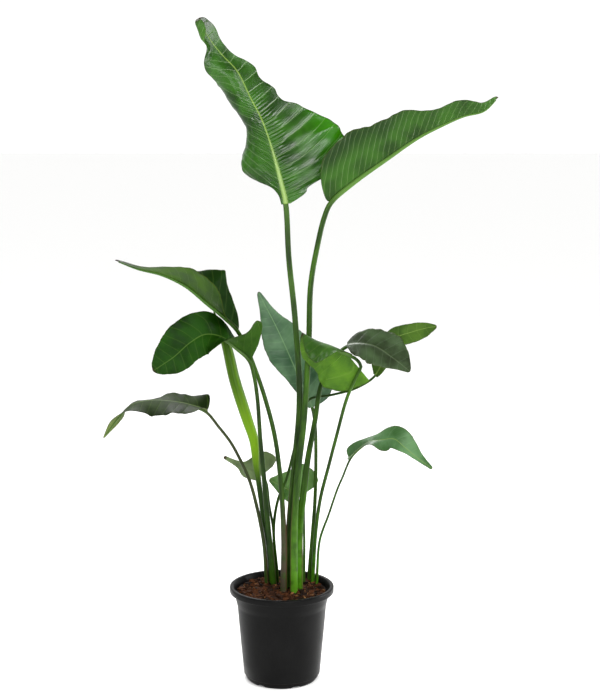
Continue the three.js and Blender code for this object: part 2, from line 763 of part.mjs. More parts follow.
/** The potting mix: it fills the pot, has an uneven top, and the stalks stand in plain holes in it. */
function mixGeometry() {
  const wall = innerWall().filter(([, height]) => height < MIX_LEVEL);
  const [lowRadius, lowHeight] = wall[wall.length - 1];
  const [highRadius, highHeight] = innerWall().find(([, height]) => height >= MIX_LEVEL);
  const share = (MIX_LEVEL - lowHeight) / (highHeight - lowHeight);
  const topRadius = lowRadius + (highRadius - lowRadius) * share;
  const floorTop = RAISED_FLOOR + FLOOR_THICKNESS + MIX_CLEARANCE;
  const side = [...wall, [topRadius, MIX_LEVEL]]
    .map(([radius, height]) => [radius - MIX_CLEARANCE, height]);
  const top = Array.from({ length: MIX_RINGS }, (_, i) => (
    [(topRadius - MIX_CLEARANCE) * (1 - (i + 1) / MIX_RINGS), MIX_LEVEL]
  ));
  const profile = [[0, floorTop], [FOOT_RING.outer - 3, floorTop], ...side, ...top];
  const filling = turned(profile);
  const edge = topRadius - 2 * MIX_CLEARANCE;
  const uneven = reshaped(filling, (x, y, z) => {
    const onTop = z > MIX_LEVEL - 0.01 && Math.hypot(x, y) < edge;
    return new THREE.Vector3(x, y, onTop ? z + mixHeight(x, y) : z);
  });
  let mix = solidFrom(uneven);
  const holes = [
    ...LEAVES.map((leaf) => stalkGeometry(leaf, HOLE_CLEARANCE)),
    rolledLeafGeometry(ROLLED_LEAF, HOLE_CLEARANCE),
  ];
  for (const hole of holes) {
    hole.translate(0, 0, -HOLE_SPARE_DEPTH);
    mix = mix.subtract(solidFrom(hole));
  }
  return geometryFrom(mix);
}

/** A named piece with its own finish. */
function piece(name, geometry, colour, roughness) {
  const material = new THREE.MeshStandardMaterial({ color: colour, roughness, metalness: 0 });
  const mesh = new THREE.Mesh(geometry, material);
  mesh.name = name;
  return mesh;
}

const plant = new THREE.Group();
plant.name = 'potted_bird_of_paradise';
plant.add(piece('pot', potGeometry(), 0x2b2b2d, 0.5));
plant.add(piece('potting_mix', mixGeometry(), 0x4a3024, 0.95));
for (const leaf of LEAVES) {
  const blade = sheetGeometry(bladeRows(leaf), BLADE_THICKNESS);
  plant.add(piece(`${leaf.name}_stalk`, stalkGeometry(leaf), 0x4c6b2c, 0.5));
  plant.add(piece(`${leaf.name}_blade`, blade, 0x3d6b2a, 0.45));
}
plant.add(piece(ROLLED_LEAF.name, rolledLeafGeometry(ROLLED_LEAF), 0x7fae35, 0.45));

export default plant;
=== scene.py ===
"""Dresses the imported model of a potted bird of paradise: finer leaves, stalks, pot and potting mix."""

import logging
import math
import random
from bisect import bisect_left
from collections.abc import Sequence
from dataclasses import dataclass, field
from enum import Enum
from typing import TypeVar

import bmesh
import bpy
from bmesh.types import BMEdge, BMesh, BMVert
from bpy.types import ID, Material, NodeSocket, NodeTree, Object, ShaderNode, World
from mathutils import Matrix, Vector, noise


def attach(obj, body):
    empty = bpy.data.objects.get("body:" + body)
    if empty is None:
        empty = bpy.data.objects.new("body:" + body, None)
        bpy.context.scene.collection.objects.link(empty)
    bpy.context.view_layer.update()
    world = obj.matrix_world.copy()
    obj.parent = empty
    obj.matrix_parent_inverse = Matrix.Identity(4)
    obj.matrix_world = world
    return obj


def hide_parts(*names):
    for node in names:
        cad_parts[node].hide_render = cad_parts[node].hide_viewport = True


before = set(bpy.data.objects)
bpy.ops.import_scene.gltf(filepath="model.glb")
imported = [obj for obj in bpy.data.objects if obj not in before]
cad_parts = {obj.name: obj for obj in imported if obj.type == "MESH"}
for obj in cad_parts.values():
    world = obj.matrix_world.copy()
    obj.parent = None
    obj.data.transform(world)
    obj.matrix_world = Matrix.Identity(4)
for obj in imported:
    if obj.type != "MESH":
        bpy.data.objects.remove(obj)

log = logging.getLogger("potted_bird_of_paradise")

MM = 0.001
RIB_TIP = (1.0, 1.6)
RIB_TAPER = 0.8
WAX_IOR = 1.45
POLYPROPYLENE_IOR = 1.49
PLAIN_IOR = 1.5
STALK_SPECULAR = 0.14
MARGIN_WAVES = ((0.01, 53), (0.006, 131))
RUFFLE_WAVES = ((1.0, 47), (0.6, 83))

Keys = tuple[tuple[float, float], ...]
FaceKeys = tuple[tuple[float, tuple[float, float, float]], ...]
Point = tuple[float, float, float]
Amount = TypeVar("Amount", float, Vector)
Spot = tuple[Vector, tuple[float, float], tuple[float, float]]


# Plans of the leaves, with the names of the solids and nearly all of their values


@dataclass(frozen=True)
class HalfPlan:
    """One half of a blade: how far its base reaches back, its width, its fold and its curl."""

    lobe: float
    outline: Keys
    fold: Keys = ((0, 0),)
    curl: Keys = ((0, 0),)


@dataclass(frozen=True)
class WavePlan:
    """The ripple of a blade's margins: its height, how many times it comes, where it starts."""

    height: float
    count: float
    start: float


@dataclass(frozen=True)
class LeafPlan:
    """An open leaf's shape, in millimetres and degrees, keyed by the place from base to tip."""

    name: str
    spine: tuple[Point, ...]
    foot: tuple[float, float]
    neck: tuple[float, float]
    blade_from: int
    face: FaceKeys
    left: HalfPlan
    right: HalfPlan
    wave: WavePlan

    @property
    def halves(self) -> tuple[HalfPlan, HalfPlan]:
        """The left and the right half."""
        return self.left, self.right

    def rib_size(self, place: float) -> tuple[float, float]:
        """Half width and depth of the midrib at a place along the blade."""
        share = (1 - place) ** RIB_TAPER
        return tuple(tip + (neck - tip) * share for tip, neck in zip(RIB_TIP, self.neck))


@dataclass(frozen=True)
class RolledPlan:
    """The rolled leaf's shape, in millimetres, keyed by the place along its spine."""

    name: str
    spine: tuple[Point, ...]
    face: Point
    girth: Keys
    roll_step: float
    roll_from: tuple[float, float]


LEAVES: tuple[LeafPlan, ...] = (
    LeafPlan(
        "tall_left_leaf", foot=(9, 16), neck=(6.2, 11), blade_from=7, wave=WavePlan(6, 4, 0.2),
        spine=((14, 12, 152), (16, 11, 260), (19, 9, 374), (31, 4, 517), (41, 0, 657), (31, 0, 841),
            (17, 4, 980), (10, 6, 1101), (-2, 8, 1154), (-20, 14, 1220), (-42, 24, 1283), (-69, 34, 1335),
            (-98, 44, 1392), (-131, 50, 1427), (-157, 52, 1460), (-184, 46, 1506)),
        face=((0, (0.1, -1, 0.2)), (1, (0.2, -1, 0.2))),
        left=HalfPlan(0, ((0, 10), (0.06, 15), (0.1, 28), (0.14, 56), (0.2, 84), (0.28, 92), (0.36, 79),
            (0.43, 63), (0.6, 71), (0.76, 58), (0.81, 46), (0.865, 22), (0.92, 46), (1, 38)),
            fold=((0, -10), (0.28, -6), (0.42, 22), (0.8, 26), (0.88, 0), (1, -10)),
            curl=((0, -20), (0.26, -60), (0.38, -150), (0.6, -140), (0.78, -90), (0.86, 20), (0.92, 190),
                (1, 250))),
        right=HalfPlan(16, ((0, 10), (0.04, 48), (0.06, 56), (0.1, 108), (0.2, 158), (0.3, 148),
            (0.42, 86), (0.46, 60), (0.53, 56), (0.61, 38), (0.66, 38), (0.74, 21), (0.84, 19), (0.93, 24),
            (1, 14)),
            fold=((0, 6),), curl=((0, 6),)),
    ),
    LeafPlan(
        "tall_right_leaf", foot=(10.5, 16), neck=(6.8, 12), blade_from=9, wave=WavePlan(4, 4, 0.1),
        spine=((29, -11, 152), (29, -11, 260), (30, -11, 368), (37, -12, 486), (51, -16, 615),
            (62, -20, 799), (66, -20, 923), (80, -18, 1007), (96, -16, 1074), (110, -14, 1105),
            (160, -6, 1148), (233, 4, 1199), (305, 14, 1247), (353, 20, 1271), (405, 26, 1293),
            (450, 31, 1304), (482, 36, 1334)),
        face=((0, (-0.5, 0.2, 0.8)), (1, (-0.4, 0.1, 0.9))),
        left=HalfPlan(10, ((0, 14), (0.1, 84), (0.25, 106), (0.5, 80), (0.75, 38), (1, 4)),
            fold=((0, 48),), curl=((0, 10),)),
        right=HalfPlan(10, ((0, 14), (0.04, 52), (0.1, 90), (0.2, 106), (0.38, 92), (0.53, 76), (0.66, 46),
            (0.78, 42), (0.9, 24), (1, 8)),
            fold=((0, 62),), curl=((0, -8),)),
    ),
    LeafPlan(
        "upper_left_leaf", foot=(9, 15), neck=(5.2, 10), blade_from=8, wave=WavePlan(3, 3, 0.4),
        spine=((3, -9, 152), (4, -9, 240), (5, -9, 331), (-1, -4, 460), (-15, 6, 572), (-38, 20, 660),
            (-59, 27, 722), (-78, 30, 770), (-101, 30, 813), (-131, 26, 843), (-168, 18, 875),
            (-214, 8, 915), (-267, 0, 942), (-320, -6, 956), (-370, -10, 976)),
        face=((0, (0.6, 0.1, 0.8)), (1, (0.3, 0, 1))),
        left=HalfPlan(6, ((0, 8), (0.08, 24), (0.2, 62), (0.38, 98), (0.52, 102), (0.7, 60), (0.84, 38),
            (0.94, 30), (1, 14)),
            fold=((0, -8), (0.16, 2), (0.3, 24), (0.5, 30), (1, 10))),
        right=HalfPlan(6, ((0, 8), (0.08, 36), (0.2, 66), (0.32, 94), (0.44, 72), (0.62, 34), (0.82, 20),
            (0.94, 16), (1, 8)),
            fold=((0, 50), (0.34, 56), (0.48, 22), (1, 4)), curl=((0, 4),)),
    ),
    LeafPlan(
        "middle_left_leaf", foot=(10.5, 14), neck=(4.4, 8), blade_from=7, wave=WavePlan(2, 3, 0),
        spine=((-18, 47, 152), (-24, 47, 240), (-32, 44, 340), (-41, 36, 462), (-49, 26, 559),
            (-55, 16, 656), (-62, 8, 709), (-73, 4, 747), (-102, 2, 775), (-136, -2, 801), (-171, -6, 808),
            (-205, -10, 790), (-241, -14, 759), (-288, -20, 728)),
        face=((0, (0.5, 0.4, 0.8)), (0.25, (0.2, -0.2, 1)), (0.45, (0, -0.9, 0.4)), (1, (0.1, -1, 0.2))),
        left=HalfPlan(-60, ((0, 38), (0.02, 72), (0.05, 86), (0.1, 87), (0.22, 70), (0.4, 52), (0.6, 42),
            (0.8, 38), (0.94, 20), (1, 6)),
            fold=((0, 60), (0.25, 40), (0.5, 0), (1, 0))),
        right=HalfPlan(0, ((0, 8), (0.1, 12), (0.2, 34), (0.34, 44), (0.5, 56), (0.66, 56), (0.85, 42),
            (0.96, 20), (1, 6)),
            fold=((0, 20), (0.25, 12), (0.5, 5), (1, 0))),
    ),
    LeafPlan(
        "lowest_left_leaf", foot=(9, 12), neck=(3.8, 7), blade_from=8, wave=WavePlan(3, 3, 0.3),
        spine=((-32, 56, 152), (-36, 53, 225), (-41, 50, 302), (-56, 44, 388), (-73, 36, 457),
            (-97, 28, 516), (-117, 22, 555), (-143, 14, 592), (-171, 6, 628), (-207, 0, 644),
            (-249, -8, 654), (-296, -16, 658), (-338, -24, 649), (-370, -32, 618), (-399, -40, 578)),
        face=((0, (0.2, -0.1, 1)), (0.6, (0, -0.1, 1)), (1, (-0.6, 0.5, 0.4))),
        left=HalfPlan(12, ((0, 7), (0.08, 34), (0.2, 56), (0.46, 62), (0.6, 44), (0.72, 32), (0.83, 23),
            (0.93, 10), (1, 2)),
            fold=((0, 45), (0.14, 0), (0.4, -14), (0.6, -14), (0.8, 10), (1, 10)), curl=((0, -6),)),
        right=HalfPlan(12, ((0, 9), (0.05, 44), (0.15, 40), (0.32, 38), (0.5, 32), (0.7, 35), (0.82, 23),
            (0.93, 9), (1, 2)),
            fold=((0, 50), (0.1, 20), (0.32, 10), (0.42, -16), (1, -12))),
    ),
    LeafPlan(
        "rear_upright_leaf", foot=(5, 9), neck=(4, 7), blade_from=6, wave=WavePlan(2, 2, 0),
        spine=((60, 72, 152), (65, 73, 240), (72, 74, 332), (77, 80, 402), (79, 90, 520), (77, 98, 578),
            (70, 100, 620), (42, 104, 683), (-4, 106, 789), (-54, 100, 890)),
        face=((0, (0, -1, 0.3)), (1, (0.1, -1, 0.2))),
        left=HalfPlan(8, ((0, 8), (0.1, 16), (0.27, 28), (0.46, 46), (0.64, 43), (0.84, 20), (1, 4)),
            curl=((0, -10),)),
        right=HalfPlan(8, ((0, 10), (0.04, 46), (0.12, 66), (0.26, 65), (0.45, 56), (0.62, 43), (0.8, 17),
            (1, 4)),
            curl=((0, -10),)),
    ),
    LeafPlan(
        "middle_centre_leaf", foot=(4.6, 8), neck=(3.8, 7), blade_from=11, wave=WavePlan(2, 3, 0),
        spine=((68, 60, 152), (73, 56, 240), (79, 48, 339), (89, 30, 419), (107, 4, 501), (125, -26, 582),
            (143, -55, 661), (154, -64, 695), (169, -70, 730), (177, -70, 747), (168, -67, 762),
            (156, -65, 769), (142, -63, 775), (109, -58, 788), (75, -54, 801), (46, -52, 819)),
        face=((0, (0, 1, 0)), (1, (0, 1, 0.1))),
        left=HalfPlan(0, ((0, 6), (0.11, 8), (0.24, 18), (0.4, 62), (0.55, 78), (0.75, 62), (0.91, 28),
            (1, 5)),
            fold=((0, -66),), curl=((0, -20), (0.22, -60), (0.56, -120), (1, -100))),
        right=HalfPlan(195, ((0, 34), (0.05, 46), (0.1, 62), (0.16, 84), (0.22, 96), (0.36, 92),
            (0.51, 70), (0.75, 52), (0.91, 26), (1, 5)),
            fold=((0, 15),)),
    ),
    LeafPlan(
        "middle_right_leaf", foot=(12.5, 16), neck=(4.6, 8), blade_from=8, wave=WavePlan(2, 3, 0.5),
        spine=((36, 8, 152), (38, 6, 250), (40, 4, 352), (49, -2, 429), (60, -6, 520), (76, -8, 610),
            (89, -10, 691), (114, -16, 748), (149, -29, 786), (202, -46, 789), (246, -56, 764),
            (286, -62, 734)),
        face=((0, (0, -0.35, 0.9)), (1, (0.3, -0.5, 0.8))),
        left=HalfPlan(6, ((0, 8), (0.1, 32), (0.24, 46), (0.45, 56), (0.64, 58), (0.82, 40), (0.94, 18),
            (1, 5)),
            fold=((0, 14),)),
        right=HalfPlan(6, ((0, 8), (0.12, 36), (0.3, 50), (0.46, 54), (0.62, 44), (0.8, 24), (1, 5)),
            fold=((0, -10),), curl=((0, -4),)),
    ),
    LeafPlan(
        "far_right_leaf", foot=(4, 7), neck=(2.8, 5), blade_from=10, wave=WavePlan(1, 2, 0),
        spine=((-6, 66, 152), (-12, 64, 240), (-19, 62, 338), (-9, 60, 408), (10, 56, 457), (26, 50, 520),
            (44, 44, 601), (63, 38, 650), (115, 30, 663), (168, 20, 680), (213, 10, 712), (238, 6, 764),
            (262, 2, 800), (292, 0, 812), (330, -2, 823), (349, -4, 826)),
        face=((0, (-0.3, -0.8, 0.5)), (1, (-0.2, -0.8, 0.6))),
        left=HalfPlan(6, ((0, 6), (0.12, 22), (0.35, 30), (0.6, 23), (0.82, 17), (1, 4)),
            fold=((0, 8),)),
        right=HalfPlan(0, ((0, 8), (0.12, 14), (0.3, 22), (0.5, 26), (0.7, 28), (0.86, 22), (0.95, 12),
            (1, 4)),
            fold=((0, 4),)),
    ),
    LeafPlan(
        "lower_right_leaf", foot=(4, 7), neck=(2.8, 5), blade_from=6, wave=WavePlan(2, 2, 0),
        spine=((78, 50, 152), (82, 48, 230), (88, 44, 316), (108, 38, 378), (129, 28, 445), (139, 20, 471),
            (157, 12, 517), (174, 8, 538), (199, 2, 558), (228, -6, 565), (255, -14, 569), (277, -22, 553),
            (304, -26, 531), (341, -28, 504)),
        face=((0, (-0.6, -0.2, 0.8)), (0.25, (-0.2, -0.2, 1)), (0.45, (0.1, -0.7, 0.7)), (1,
            (0.3, -0.7, 0.6))),
        left=HalfPlan(10, ((0, 6), (0.05, 26), (0.14, 26), (0.28, 18), (0.4, 26), (0.54, 36), (0.7, 30),
            (0.86, 14), (1, 4)),
            fold=((0, 30), (0.25, 10), (0.45, 4), (1, 0))),
        right=HalfPlan(10, ((0, 6), (0.05, 28), (0.14, 26), (0.28, 18), (0.4, 32), (0.54, 28), (0.7, 12),
            (1, 4)),
            fold=((0, 30), (0.25, 8), (0.45, 0), (1, 0))),
    ),
    LeafPlan(
        "small_rear_leaf", foot=(4, 7), neck=(2.8, 5), blade_from=5, wave=WavePlan(1, 2, 0),
        spine=((-16, 82, 152), (-18, 80, 240), (-21, 78, 335), (-30, 80, 391), (-37, 84, 445),
            (-47, 90, 460), (-87, 96, 478), (-136, 100, 501)),
        face=((0, (0, -1, 0.3)), (1, (0, -1, 0.3))),
        left=HalfPlan(26, ((0, 8), (0.15, 20), (0.4, 22), (0.6, 10), (1, 4))),
        right=HalfPlan(26, ((0, 10), (0.05, 46), (0.14, 54), (0.3, 40), (0.5, 12), (0.7, 6), (1, 4)),
            curl=((0, -10),)),
    ),
    LeafPlan(
        "small_round_leaf", foot=(3.8, 7), neck=(2.8, 5), blade_from=5, wave=WavePlan(1, 2, 0),
        spine=((50, 50, 152), (51, 54, 225), (52, 64, 300), (51, 76, 354), (50, 88, 390), (42, 94, 408),
            (9, 100, 425), (-30, 104, 446)),
        face=((0, (0, -1, 0.2)), (1, (0, -1, 0.2))),
        left=HalfPlan(28, ((0, 8), (0.1, 24), (0.4, 24), (0.7, 14), (1, 4))),
        right=HalfPlan(28, ((0, 12), (0.03, 48), (0.1, 64), (0.25, 70), (0.4, 66), (0.6, 44), (0.82, 22),
            (1, 4))),
    ),
)

ROLLED_LEAF = RolledPlan(
    name="rolled_young_leaf",
    spine=((-30, 72, 152), (-36, 68, 250), (-44, 64, 359), (-53, 60, 444), (-59, 58, 490), (-64, 58, 551),
        (-78, 60, 597), (-107, 66, 690), (-126, 70, 771), (-155, 72, 849)),
    face=(0.3, -1, 0.2),
    girth=((0, 6), (0.3, 5), (0.46, 7), (0.56, 13), (0.68, 15.5), (0.86, 14), (0.95, 8), (1, 1.5)),
    roll_step=0.24,
    roll_from=(0.4, 0.55),
)


# Curves and small sums


def keyed(keys: Keys, place: float) -> float:
    """Value at a place, straight between the keys."""
    if place <= keys[0][0]:
        return keys[0][1]
    for (start, low), (end, high) in zip(keys, keys[1:]):
        if place <= end:
            return low + (high - low) * (place - start) / (end - start)
    return keys[-1][1]


def softly_keyed(keys: Keys, place: float, reach: float = 0.05) -> float:
    """Value at a place with the keys' corners rounded off over a reach on each side."""
    steps = (-1.0, -0.5, 0.0, 0.5, 1.0)
    return sum(keyed(keys, min(1.0, max(0.0, place + reach * step))) for step in steps) / len(steps)


def span(share: float, start: Amount, end: Amount, leave: Amount, arrive: Amount) -> Amount:
    """Value at a share of a smooth span, from the slopes at which it leaves and arrives."""
    square, cube = share**2, share**3
    rise = leave * (cube - 2 * square + share) + arrive * (cube - square)
    return start * (2 * cube - 3 * square + 1) + end * (3 * square - 2 * cube) + rise


def smoothly_keyed(keys: Keys, place: float) -> float:
    """Value at a place on the smooth curve through the keys."""
    last = len(keys) - 1
    after = max(1, next((i for i, key in enumerate(keys) if key[0] >= place), last))

    def slope(index: int) -> float:
        """Slope at a key, from its neighbours."""
        before, following = keys[max(index - 1, 0)], keys[min(index + 1, last)]
        return (following[1] - before[1]) / (following[0] - before[0])

    (start, low), (end, high) = keys[after - 1], keys[after]
    step = end - start
    return span((place - start) / step, low, high, slope(after - 1) * step, slope(after) * step)


def keyed_direction(keys: FaceKeys, place: float, reach: float = 0.04) -> Vector:
    """Direction at a place between keyed directions, with its corners rounded off."""
    axes = [tuple((at, direction[axis]) for at, direction in keys) for axis in range(3)]
    return Vector([softly_keyed(values, place, reach) for values in axes]).normalized()


def smoothstep(low: float, high: float, value: float) -> float:
    """0 below low, 1 above high, and smooth between them."""
    share = min(1.0, max(0.0, (value - low) / (high - low)))
    return share * share * (3 - 2 * share)


@dataclass
class Spine:
    """The smooth curve that a leaf's stalk and midrib follow, read by the length along it."""

    corners: tuple[Point, ...]
    samples: list[Vector] = field(init=False)
    lengths: list[float] = field(init=False)
    SPAN_SAMPLES: int = 40
    FRAME_REACH: float = 6.0

    def __post_init__(self) -> None:
        """Samples the curve and sums its length."""
        points = [Vector(corner) for corner in self.corners]
        ends = [2 * points[0] - points[1], *points, 2 * points[-1] - points[-2]]
        self.samples = []
        for before, start, end, after in zip(ends, ends[1:], ends[2:], ends[3:]):
            gaps = [math.sqrt((b - a).length) for a, b in ((before, start), (start, end), (end, after))]
            leave = self._tangent(before, start, end, gaps[0], gaps[1]) * gaps[1]
            arrive = self._tangent(start, end, after, gaps[1], gaps[2]) * gaps[1]
            for step in range(self.SPAN_SAMPLES):
                self.samples.append(span(step / self.SPAN_SAMPLES, start, end, leave, arrive))
        self.samples.append(points[-1])
        self.lengths = [0.0]
        for a, b in zip(self.samples, self.samples[1:]):
            self.lengths.append(self.lengths[-1] + (b - a).length)

    @staticmethod
    def _tangent(before: Vector, at: Vector, after: Vector, gap: float, next_gap: float) -> Vector:
        """Tangent at a corner of the curve, from its neighbours and the gaps to them."""
        return (at - before) / gap - (after - before) / (gap + next_gap) + (after - at) / next_gap

    @property
    def length(self) -> float:
        """Length of the whole curve."""
        return self.lengths[-1]

    def length_at(self, index: int) -> float:
        """Length along the curve at which it passes a corner."""
        return self.lengths[index * self.SPAN_SAMPLES]

    def point(self, length: float) -> Vector:
        """Point at a length along the curve; beyond either end it runs on straight."""
        high = min(max(1, bisect_left(self.lengths, length)), len(self.lengths) - 1)
        start, end = self.lengths[high - 1 : high + 1]
        return self.samples[high - 1].lerp(self.samples[high], (length - start) / (end - start))

    def axes(self, length: float, face: Vector) -> tuple[Vector, Vector, Vector, Vector]:
        """Point at a length, and the directions along, up from the face and across to its right."""
        along = (self.point(length + self.FRAME_REACH) - self.point(length - self.FRAME_REACH)).normalized()
        up = (face - along * face.dot(along)).normalized()
        return self.point(length), along, up, along.cross(up)


# Materials


def linear(code: str) -> tuple[float, float, float, float]:
    """Linear colour of an sRGB hex code such as #2c3f1c."""
    channels = [int(code[i : i + 2], 16) / 255 for i in (1, 3, 5)]
    curve = [c / 12.92 if c <= 0.04045 else ((c + 0.055) / 1.055) ** 2.4 for c in channels]
    return (*curve, 1.0)


def add(
    tree: NodeTree, kind: str, inputs: dict[int | str, object] | None = None, **settings: object
) -> ShaderNode:
    """Adds a node to a material.

    Args:
        tree: the material's node tree.
        kind: the node's type name.
        inputs: by input socket, a fixed value or the output socket to join to it.
        settings: the node's own properties.

    Returns:
        The new node.
    """
    node = tree.nodes.new(kind)
    for name, value in settings.items():
        setattr(node, name, value)
    for socket, value in (inputs or {}).items():
        if isinstance(value, NodeSocket):
            tree.links.new(value, node.inputs[socket])
        elif value is not None:
            node.inputs[socket].default_value = value
    return node


def new_material(name: str) -> tuple[Material, NodeTree]:
    """An empty node material and its tree."""
    material = bpy.data.materials.new(name)
    material.use_nodes = True
    material.node_tree.nodes.clear()
    return material, material.node_tree


def calculate(tree: NodeTree, operation: str, a: object, b: object = 0.0, c: object = 0.0) -> object:
    """Output socket of a Math node whose inputs are numbers or sockets."""
    return add(tree, "ShaderNodeMath", {0: a, 1: b, 2: c}, operation=operation).outputs[0]


def multiplied(tree: NodeTree, value: object, *factors: object) -> object:
    """Output socket of the product of a value and some factors."""
    for factor in factors:
        value = calculate(tree, "MULTIPLY", value, factor)
    return value


def summed(tree: NodeTree, *terms: tuple[object, object], start: object = 0.0) -> object:
    """Output socket of the sum of terms, each a value and its strength."""
    for value, strength in terms:
        start = calculate(tree, "MULTIPLY_ADD", value, strength, start)
    return start


def ranged(tree: NodeTree, value: object, low: float, high: float, to_low: float, to_high: float) -> object:
    """Output socket that turns a value from one range into another, smoothly and held at its ends."""
    inputs = {"Value": value, "From Min": low, "From Max": high, "To Min": to_low, "To Max": to_high}
    return add(tree, "ShaderNodeMapRange", inputs, interpolation_type="SMOOTHSTEP").outputs[0]


def blended(tree: NodeTree, share: object, first: object, second: object) -> object:
    """Output socket that mixes two colours, each a hex code or a socket, by a share."""
    first, second = (linear(item) if isinstance(item, str) else item for item in (first, second))
    return add(tree, "ShaderNodeMix", {0: share, 6: first, 7: second}, data_type="RGBA").outputs[2]


def coated(tree: NodeTree, colour: object, *coats: tuple[object, object]) -> object:
    """Output socket of a colour with coats over it in turn, each a share and a colour."""
    for share, coat in coats:
        colour = blended(tree, share, colour, coat)
    return colour


def per_metre(millimetres: float) -> float:
    """Scale of a pattern on coordinates in metres, from its size in millimetres."""
    return 1 / (millimetres * MM)


def placed(tree: NodeTree) -> object:
    """Output socket of the place in the model, in metres."""
    return add(tree, "ShaderNodeTexCoord").outputs["Object"]


def height_of(tree: NodeTree) -> object:
    """Output socket of the height over the ground, in metres."""
    return add(tree, "ShaderNodeSeparateXYZ", {0: placed(tree)}).outputs[2]


def layer(tree: NodeTree, name: str) -> object:
    """Output socket of one of the mesh's own layers."""
    return add(tree, "ShaderNodeAttribute", attribute_name=name).outputs["Fac"]


def noisy(tree: NodeTree, coordinates: object, scale: float, detail: float) -> object:
    """Output socket of a cloudy pattern on coordinates."""
    inputs = {"Scale": scale, "Detail": detail, "Vector": coordinates}
    return add(tree, "ShaderNodeTexNoise", inputs).outputs[0]


def skin_map(tree: NodeTree, around: float, along: float) -> object:
    """Output socket of the coordinates round and along a stalk, scaled for streaks along it."""
    skin = add(tree, "ShaderNodeUVMap", uv_map="skin").outputs[0]
    return add(tree, "ShaderNodeMapping", {"Scale": (around, along, 1.0), "Vector": skin}).outputs[0]


def line_mask(tree: NodeTree, coordinate: object, spacing_mm: float, width_mm: float) -> object:
    """1 on lines that repeat along a coordinate in metres, and 0 between them."""
    turns = multiplied(tree, coordinate, per_metre(spacing_mm))
    distance = calculate(tree, "PINGPONG", turns, 0.5)
    return ranged(tree, distance, 0.0, width_mm / spacing_mm, 1.0, 0.0)


def bumped(tree: NodeTree, height: object, strength: float, depth_mm: float) -> object:
    """Output socket of the directions of a surface with a relief."""
    inputs = {"Strength": strength, "Distance": depth_mm * MM, "Height": height}
    return add(tree, "ShaderNodeBump", inputs).outputs[0]


def skinned(
    tree: NodeTree, colour: object, roughness: object, specular: float, ior: float, relief: object = None
) -> object:
    """Output socket of an opaque skin: its colour, its gloss and its relief."""
    inputs = {
        "Base Color": colour, "Roughness": roughness, "Specular IOR Level": specular, "IOR": ior,
        "Normal": relief,
    }
    return add(tree, "ShaderNodeBsdfPrincipled", inputs).outputs[0]


def lit_through(tree: NodeTree, skin: object, share: float, colour: object, relief: object = None) -> object:
    """Output socket of a skin that lets a share of the light behind it through."""
    glow = add(tree, "ShaderNodeBsdfTranslucent", {"Color": colour, "Normal": relief}).outputs[0]
    return add(tree, "ShaderNodeMixShader", {0: share, 1: skin, 2: glow}).outputs[0]


def shown(tree: NodeTree, skin: object) -> None:
    """Ends a material with its skin."""
    add(tree, "ShaderNodeOutputMaterial", {"Surface": skin})


class BladeSide(Enum):
    """The two faces of a blade."""

    UPPER = "upper"
    UNDER = "under"


